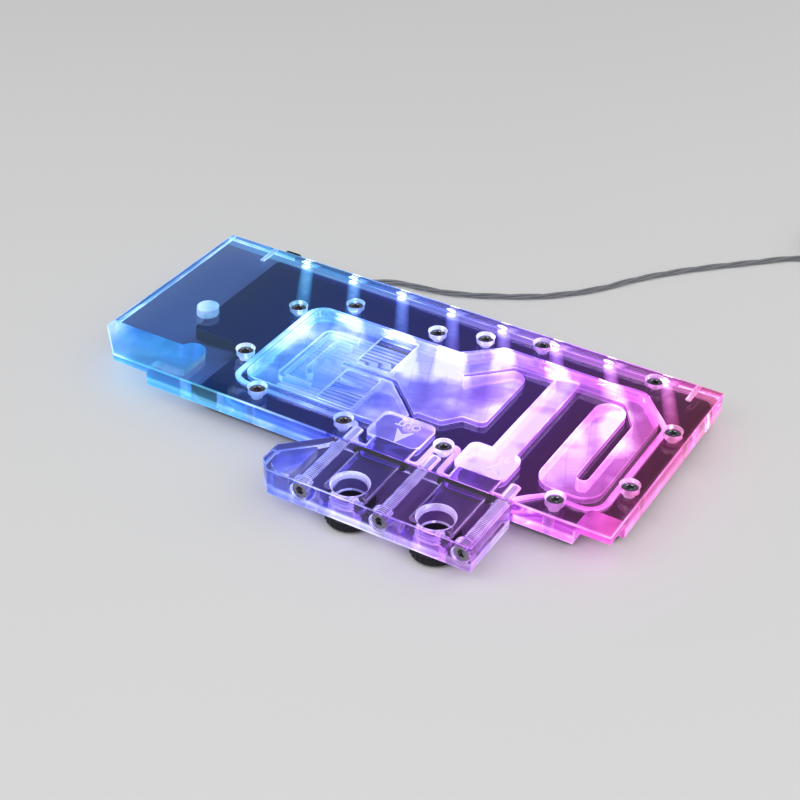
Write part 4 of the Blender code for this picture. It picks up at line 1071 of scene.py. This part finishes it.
def word_cutter(word, x, y, size):
    """Letters engraved up into a pocket's ceiling, to be read from the lit edge."""
    curve = bpy.data.curves.new(word, "FONT")
    curve.body, curve.size, curve.align_x, curve.align_y = word, size, "CENTER", "CENTER"
    curve.extrude, curve.resolution_u = MARK_DEPTH, 4
    carrier = shown(word, curve)
    bm = bmesh.new()
    bm.from_mesh(evaluated(carrier))
    bpy.data.objects.remove(carrier)
    bmesh.ops.remove_doubles(bm, verts=bm.verts, dist=1e-4)
    bmesh.ops.rotate(bm, matrix=Matrix.Rotation(math.pi, 3, "Z"), verts=bm.verts)
    bmesh.ops.recalc_face_normals(bm, faces=bm.faces)
    return cutter(moved(bm, x, y, PORT_CEILING), mark_frost)


def arrow_cutter(x, y, side):
    """A dart, 8.8 mm long, that points along Y."""
    corners = [(x + a, y - b * side) for a, b in ((-3.6, 0), (0, -8.8), (3.6, 0), (0, -2.8))]
    return cutter(prism(corners, PORT_CEILING - MARK_DEPTH, PORT_CEILING + MARK_DEPTH), mark_frost)


marks = [
    word_cutter("OUT", 141.2, 21.6, 5.0),
    arrow_cutter(141.8, 18.0, -1),
    word_cutter("IN", 182.6, 21.9, 4.2),
    arrow_cutter(182.0, 11.2, 1),
]
print("marks:", len(marks))


# %% The cover itself
def slab(name, corners, low, high, edge, below):
    """A plate with a polished top, lit edges, broken corners and its own finish below."""
    bm = prism(corners, low, high)
    bevelled(bm, level_edges(bm), 0.4)
    for face in bm.faces:
        face.material_index = 0 if face.normal.z > 0.95 else 2 if face.normal.z < -0.95 else 1
    return to_object(name, bm, (acrylic_clear, edge, below))


COVER_OUTLINE = ((15.5, 0, 0.8), (236, 0, 0.6), (236, 105, 0.6), (0, 105, 0.6), (0, 15.5, 0.8))
cover = slab("clear_cover", COVER_OUTLINE, COVER_BOTTOM, COVER_TOP, acrylic_edge, make_underside())
carve(cover, [*coolant, *others, *marks])
ride(cover, "acrylic_cover", slot="acrylic")
print("cover faces:", len(cover.data.polygons), [m.name for m in cover.data.materials])


# %% [markdown]
# ## Terminal block
#
# A second piece of acrylic stands in front of the cover and carries both ports. Threads can be cut as
# a true helix, but under clear acrylic the eye reads them as stacked rings, so the port cutter is one
# turned body with a toothed side.

# %% Ports with their threads
THREAD_PITCH, THREAD_MINOR, THREAD_MAJOR = 1.337, 5.85, 6.5
TERMINAL_FRONT = -30.8
TERMINAL_OUTLINE = (
    *((111.2, TERMINAL_FRONT, 0.8), (197, TERMINAL_FRONT, 0.6), (197, -0.3, 0.6)),
    *((121.5, -0.3, 0.8), (105.8, -16, 0.8), (105.8, -25.4, 0.8)),
)
RECESS = (
    *((109, -24.1, 1.5), (113.1, -27.6, 1.5), (119.55, -27.6, 1.5), (119.55, -6.7, 1.2)),
    (109, -17.3, 1.5),
)
SEAL_PATH = rectangle(-10.35, 10.35, -3.4, 3.4, 2.5)


def port_profile():
    """A port: the plug's room below, the thread's rings, and a mouth with a broken edge."""
    low = TERMINAL_BOTTOM
    profile = [(0, low - 2), (9.3, low - 2), (6.6, low + 0.7), (6.6, low + 4.6)]
    z = low + 4.9
    while z + THREAD_PITCH < COVER_TOP - 1.6:
        root = z + THREAD_PITCH / 2
        profile += [(THREAD_MINOR, z), (THREAD_MINOR, z + 0.18)]
        profile += [(THREAD_MAJOR, root), (THREAD_MAJOR, root + 0.1)]
        z += THREAD_PITCH
    mouth = ((6.5, COVER_TOP - 2.2), (7.2, COVER_TOP - 2.0), (7.3, COVER_TOP - 0.3), (7.6, COVER_TOP))
    return (*profile, *mouth, (9.6, COVER_TOP + 2), (0, COVER_TOP + 2))


def bore_profile():
    """A counterbored screw hole along the block, with the drill's rings in it."""
    profile = [(0, -2), (3.75, -2), (3.75, 5.1), (2.3, 5.1)]
    y = 5.6
    while y < 30.0:
        profile += [(2.3, y), (2.42, y + 0.35), (2.42, y + 0.45), (2.3, y + 0.8)]
        y += 0.8
    return (*profile, (2.3, 32.5), (0, 32.5))


def seal_groove(x):
    return cutter(moved(tipped(band(SEAL_PATH, 2.0, -2, 1.4, True)), x, -0.3, DUCT_Z), rubber)


ports = [(x, PORT_Y, 0) for x in PORT_X]
bores = [(x, TERMINAL_FRONT, TERMINAL_SCREW_Z) for x in TERMINAL_SCREW_X]
terminal_cuts = [
    lathe_cut(port_profile(), ports, acrylic_thread, 64),
    lathe_cut(bore_profile(), bores, bore_frost, 28, ALONG_Y),
    cutter(prism(RECESS, TERMINAL_BOTTOM - 2, SHELF_ROOF), recess_frost),
    *[duct(x, -25.3, 27.3) for x in PORT_X],
    *[seal_groove(x) for x in PORT_X],
]
terminal = slab("clear_terminal", TERMINAL_OUTLINE, TERMINAL_BOTTOM, COVER_TOP, terminal_side, acrylic_low)
carve(terminal, terminal_cuts)
ride(terminal, "terminal_block", slot="acrylic")
print("terminal faces:", len(terminal.data.polygons))


# %% [markdown]
# ## Cold plate
#
# The copper base is milled, then nickel plated. Its fins are one thin upright box, repeated across
# the field. They join the plate in one step, together with its pads and bosses.

# %% Plate, fins and pads
PLATE_OUTLINE = (
    *((54, 6, 2), (219, 6, 2), (219, 16, 2), (232, 16, 3), (232, 102, 3), (27.2, 102, 3)),
    *((27.2, 39, 2), (48, 39, 4), (54, 33, 4)),
)
STANDOFFS = ((33.2, 96), (33.2, 45), (63, 12), (212, 12), (226, 96))
CHIP_X, CHIP_Y = 95, 47
PADS = [
    (78, 112, 30, 64),
    *[(x - 6, x + 6, y - 5, y + 5) for x in (83, 97, 111) for y in (18.5, 75.5)],
    *[(118.5, 128.5, y - 6, y + 6) for y in (39.5, 54.5)],
    (172, 182, 24, 80.1),
    (197, 209, 24, 80.1),
]
FIN_SPACING, FIN_WIDTH, FIN_FIELD = 2.25, 1.2, 51.0
BOSS = ((0, 0), (3.0, 0), (3.2, 0.2), (3.2, 2.0), (0, 2.0))
SCREW_TAP = ((0, 2.7), (2.3, 2.7), (2.3, 6.5), (2.9, 7.1), (0, 7.1))
BOSS_TAP = ((0, -1), (1.5, -1), (1.1, 0.4), (1.1, 2.8), (0, 3.2))


def make_fin(y):
    bm = bmesh.new()
    size = Matrix.Diagonal((36, FIN_WIDTH, 3.2, 1))
    bmesh.ops.create_cube(bm, size=1, matrix=Matrix.Translation((CHIP_X, y, 5.2)) @ size)
    for face in bm.faces:
        face.material_index = 1
    return bm


def make_pad(pad):
    bm = prism(rectangle(*pad, 1.0), 0, 2.2)
    bevelled(bm, [e for e in level_edges(bm) if e.verts[0].co.z < 0.01], 0.2, 1)
    return bm


def make_plate():
    """The milled plate, then its pads, bosses and fins joined to it, then the taps in the bosses."""
    bm = prism(PLATE_OUTLINE, 1.6, 6.8)
    bevelled(bm, level_edges(bm), 0.3)
    plate = to_object("nickel_plate", bm, (nickel,))
    pool = cutter(prism(rectangle(76, 114, 20.2, 74.2, 1.5), 3.8, 8.0), nickel)
    carve(plate, [pool, lathe_cut(SCREW_TAP, holes, nickel, 24)])
    bosses = [moved(lathe(BOSS, 28), x, y, 0) for x, y in STANDOFFS]
    count = int(FIN_FIELD / FIN_SPACING)
    fins = [make_fin(CHIP_Y + 0.2 + (k - count / 2) * FIN_SPACING) for k in range(count + 1)]
    bodies = join([*bosses, *[make_pad(pad) for pad in PADS], *fins])
    merge(plate, [to_object("pads and fins", bodies, (nickel, fin_metal))], "UNION", use_self=True)
    return carve(plate, [lathe_cut(BOSS_TAP, [(x, y, 0) for x, y in STANDOFFS], nickel, 20)])


plate = ride(make_plate(), "cold_plate", slot="nickel")
print("plate faces:", len(plate.data.polygons))


# %% [markdown]
# ## Gasket and seals
#
# The gasket is one rubber cord in a groove, clear silicone that takes the colour of the light. The
# seals of the ports are black. Each is a round cord on a closed path.

# %% Gasket and seals
def make_silicone():
    material = Material("clear silicone")
    haze = material.noise(80.0, 3.0)
    material.set(
        # Painted light: the violet base and the glow stand for the strip's light in the clear silicone; the
        # haze only varies them.
        Base_Color=material.mix(haze, (0.55, 0.50, 0.72), (0.82, 0.74, 0.90)),
        Roughness=haze * 0.2 + 0.3,
        Transmission_Weight=0.35,
        IOR=1.41,
        Emission_Color=glow_colour(material),
        Emission_Strength=0.35,
        Normal=material.bump(haze, 0.00005, 0.4),
    )
    return material.pass_lamps(0.6)


def flattened(cord, low, high):
    """Squeezes a round cord between two heights, as the plate and the groove do."""
    middle = (low + high) / 2 * MM
    for vertex in cord.data.vertices:
        vertex.co.z = middle + (vertex.co.z - middle) * (high - low) / 1.9
    return cord


gasket_line = [Vector((p.x, p.y, 7.7)) for p in rounded_path(GASKET_PATH, True)]
gasket = cords("silicone_gasket", [gasket_line], 0.95, make_silicone(), closed=True)
ride(flattened(gasket, 7.1, 8.3), "main_gasket", slot="silicone")

seal_path = rounded_path(SEAL_PATH, True)
circle = [Matrix.Rotation(k * math.pi / 30, 2) @ Vector((7.45, 0)) for k in range(60)]
for side, x in zip(("outlet", "inlet"), PORT_X):
    line = [Vector((x + p.x, -0.85, DUCT_Z + p.y)) for p in seal_path]
    seal = cords(f"{side}_face_seal", [line], 0.7, rubber, closed=True)
    ride(seal, f"{side}_seal", slot="black_rubber")
    line = [Vector((x + p.x, PORT_Y + p.y, 4.3)) for p in circle]
    ring = cords(f"{side}_plug_ring", [line], 0.65, rubber, closed=True)
    ride(ring, f"{side}_plug_seal", slot="black_rubber")
print("gasket and seals made")


# %% [markdown]
# ## Screws, plugs and pins
#
# A socket-head screw is turned, then its hexagon is pressed in. Its thread is fine and mostly hidden,
# so it is stacked grooves along the shank.

# %% Screws
HEAD = ((2.0, 0), (3.25, 0), (3.4, 0.15), (3.4, 3.35), (3.3, 3.62), (3.05, 3.78), (2.95, 3.8), (0, 3.8))


def cone(sides, first, second, depth, matrix):
    """A closed cone, or a prism where both radii are one."""
    bm = bmesh.new()
    bmesh.ops.create_cone(
        bm, cap_ends=True, segments=sides, radius1=first, radius2=second, depth=depth, matrix=matrix
    )
    return bm


def hexagon(half, depth, matrix):
    """A hexagonal prism, from half its width across flats."""
    radius = half / math.cos(math.pi / 6)
    return cone(6, radius, radius, depth, matrix)


def screw(name, shank, at, axis=(0, 0, 1)):
    """A socket-head screw with the underside of its head at a point."""
    profile = [(0, -shank), (1.55, -shank), (1.95, -shank + 0.5)]
    z = -shank + 0.6
    while z < -1.2:
        profile += [(2.0, z), (1.62, z + 0.32), (1.62, z + 0.38)]
        z += 0.7
    body = lathe([*profile, (2.0, -0.9), *HEAD], 40, axis)
    turned = towards(axis).to_4x4()
    spot = turned @ Matrix.Translation((0, 0, 3.0)) @ Matrix.Rotation(math.radians(30), 4, "Z")
    socket = hexagon(1.5, 2.4, spot)
    sink = cone(32, 1.45, 2.0, 0.4, turned @ Matrix.Translation((0, 0, 3.75)))
    made = to_object(name, moved(body, *at), (screw_steel,))
    return carve(made, [cutter(moved(bm, *at), screw_steel) for bm in (socket, sink)], 24.0)


for number, (x, y) in enumerate(COVER_SCREWS, 1):
    piece = screw(f"screw_{number}", 8.5, (x, y, COUNTERBORE_FLOOR + FIT))
    ride(piece, f"cover_screw_{number}", slot="steel")
for side, x in zip(("left", "middle", "right"), TERMINAL_SCREW_X):
    piece = screw(f"{side}_terminal_screw", 37.0, (x, -26.0, TERMINAL_SCREW_Z), (0, -1, 0))
    ride(piece, f"terminal_screw_{side}", slot="steel")
print("screws:", len(COVER_SCREWS) + 3)


# %% Stop plugs
FLANGE = (
    *((0, 0), (8.6, 0), (9.1, 0.25), (9.5, 0.8), (9.5, 3.2), (9.1, 3.8), (8.7, 4.0), (8.4, 4.0)),
    *((8.4, 2.7), (6.5, 2.7), (6.5, 4.0), (6.3, 4.1)),
)


def make_plug(name, x):
    """A stop plug: a knurled flange, a hexagon socket below and a threaded stub above."""
    stub = []
    z = 4.5
    while z < 8.0:
        stub += [(6.3, z), (5.75, z + 0.5), (5.75, z + 0.6)]
        z += THREAD_PITCH
    body = lathe([*FLANGE, *stub, (5.9, 8.0), (0, 8.0)], 96)
    for vertex in body.verts:
        radius = vertex.co.xy.length
        step = round(math.atan2(vertex.co.y, vertex.co.x) / (math.pi / 48))
        if radius > 9.4 and step % 4 in (1, 2):
            vertex.co.xy *= (radius - 0.4) / radius
    tools = (hexagon(4.0, 4.0, Matrix()), cone(48, 5.2, 3.9, 0.9, Matrix()))
    made = to_object(name, moved(body, x, PORT_Y, 0.8), (plug_metal,))
    return carve(made, [cutter(moved(bm, x, PORT_Y, 0.8), plug_metal) for bm in tools])


for side, x in zip(("outlet", "inlet"), PORT_X):
    ride(make_plug(f"{side}_stop_plug", x), f"{side}_plug", slot="black_metal")
print("plugs made")


# %% [markdown]
# ## Strip of lights
#
# A black board stands along the far edge, and eight small lights shine from it into the acrylic. Two
# pins hold the board, and a moulded sleeve leads the cores away.

# %% Strip, lights, pins and sleeve
def upright(corners, near, far):
    """A rounded outline in X and Z, made thick along Y."""
    return moved(tipped(prism(corners, 0, far - near)), 0, far, 0)


def make_light_finish():
    material = Material("shining light")
    spot = material.noise(300.0, 2.0)
    return material.set(
        Base_Color=material.mix(spot, (0.85, 0.85, 0.80), (0.98, 0.98, 0.95)),
        Roughness=spot * 0.1 + 0.3,
        Emission_Color=material.mix(0.75, glow_colour(material), WHITE),
        Emission_Strength=7.0,
    )


LIGHT_HALF = 1.75
PIN = (
    *((0, 0.3), (0.6, 0.3), (0.9, 0.7), (0.9, 11.4)),
    *((1.6, 11.4), (1.7, 11.55), (1.7, 11.9), (1.3, 12.2), (0, 12.2)),
)
body = upright(rectangle(19.5, 230.5, 9.8, 14.8, 0.3), BOARD_FACE, BOARD_FACE + BOARD_THICKNESS)
strip = to_object("light_strip", body, (board,))
carve(strip, [lathe_cut(rod(1.2, 0, 6), [(x, 102.3, LIGHT_Z) for x in PIN_X], board, 20, ALONG_Y)])
ride(strip, "led_strip", slot="strip_board")

shining = make_light_finish()
for number, x in enumerate(LIGHT_X, 1):
    face = rectangle(x - LIGHT_HALF, x + LIGHT_HALF, LIGHT_Z - LIGHT_HALF, LIGHT_Z + LIGHT_HALF, 0.3)
    body = upright(face, COVER_WIDTH - 1, COVER_WIDTH)
    ride(to_object(f"light_{number}", body, (shining,)), f"led_{number}", slot="light")

for side, x in zip(("left", "right"), PIN_X):
    pin = to_object(f"{side}_strip_pin", moved(lathe(PIN, 28, ALONG_Y), x, 95, LIGHT_Z), (pin_steel,))
    ride(pin, f"edge_pin_{side}", slot="steel")

body = upright(rectangle(26, 34, 10.4, 14.2, 1.2), 106.4, 109.6)
sleeve = to_object("moulded_sleeve", body, (black_plastic,))
ride(sleeve, "lead_sleeve", slot="black_rubber")
print("strip made")


# %% [markdown]
# ## Floor, lamps and world
#
# A pale floor and three large soft lamps, at a level at which a colour renders about as it is
# written. A white world at low strength fills what the lamps leave dark.

# %% Floor and light
def make_floor():
    material = Material("pale floor")
    cloud = material.noise(3.0, 2.0)
    material.set(
        Base_Color=material.mix(cloud, (0.80, 0.80, 0.80), (0.83, 0.83, 0.83)),
        Roughness=cloud * 0.1 + 0.6,
    )
    bm = bmesh.new()
    bmesh.ops.create_grid(bm, x_segments=1, y_segments=1, size=4000)
    return to_object("floor", moved(bm, *ORIGIN), (material,))


def add_lamp(name, at, size, power):
    """A round lamp at a point of the layout, turned to the block's middle."""
    data = bpy.data.lights.new(name, "AREA")
    data.shape, data.size, data.energy = "DISK", size, power
    lamp = shown(name, data)
    lamp.location = place(*at)
    lamp.rotation_euler = (place(*at) - place(118, 40, 5)).to_track_quat("Z", "Y").to_euler()


def make_world(strength):
    world = bpy.data.worlds.new("studio")
    bpy.context.scene.world = world
    world.use_nodes = True
    back = world.node_tree.nodes["Background"]
    back.inputs["Color"].default_value = (1, 1, 1, 1)
    back.inputs["Strength"].default_value = strength


floor = make_floor()
floor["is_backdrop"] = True
add_lamp("key", (-540, -890, 1270), 1.5, 11.6)
add_lamp("fill", (1180, -500, 1000), 1.9, 6.6)
add_lamp("back", (1100, 860, 1090), 1.7, 8.2)
make_world(0.28)
bpy.context.scene.view_settings.view_transform = "Standard"


boxes = {"cad": cad_box, "visual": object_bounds()}
boxes = {name: [list(corner) for corner in box] for name, box in boxes.items()}
print("pieces ready")
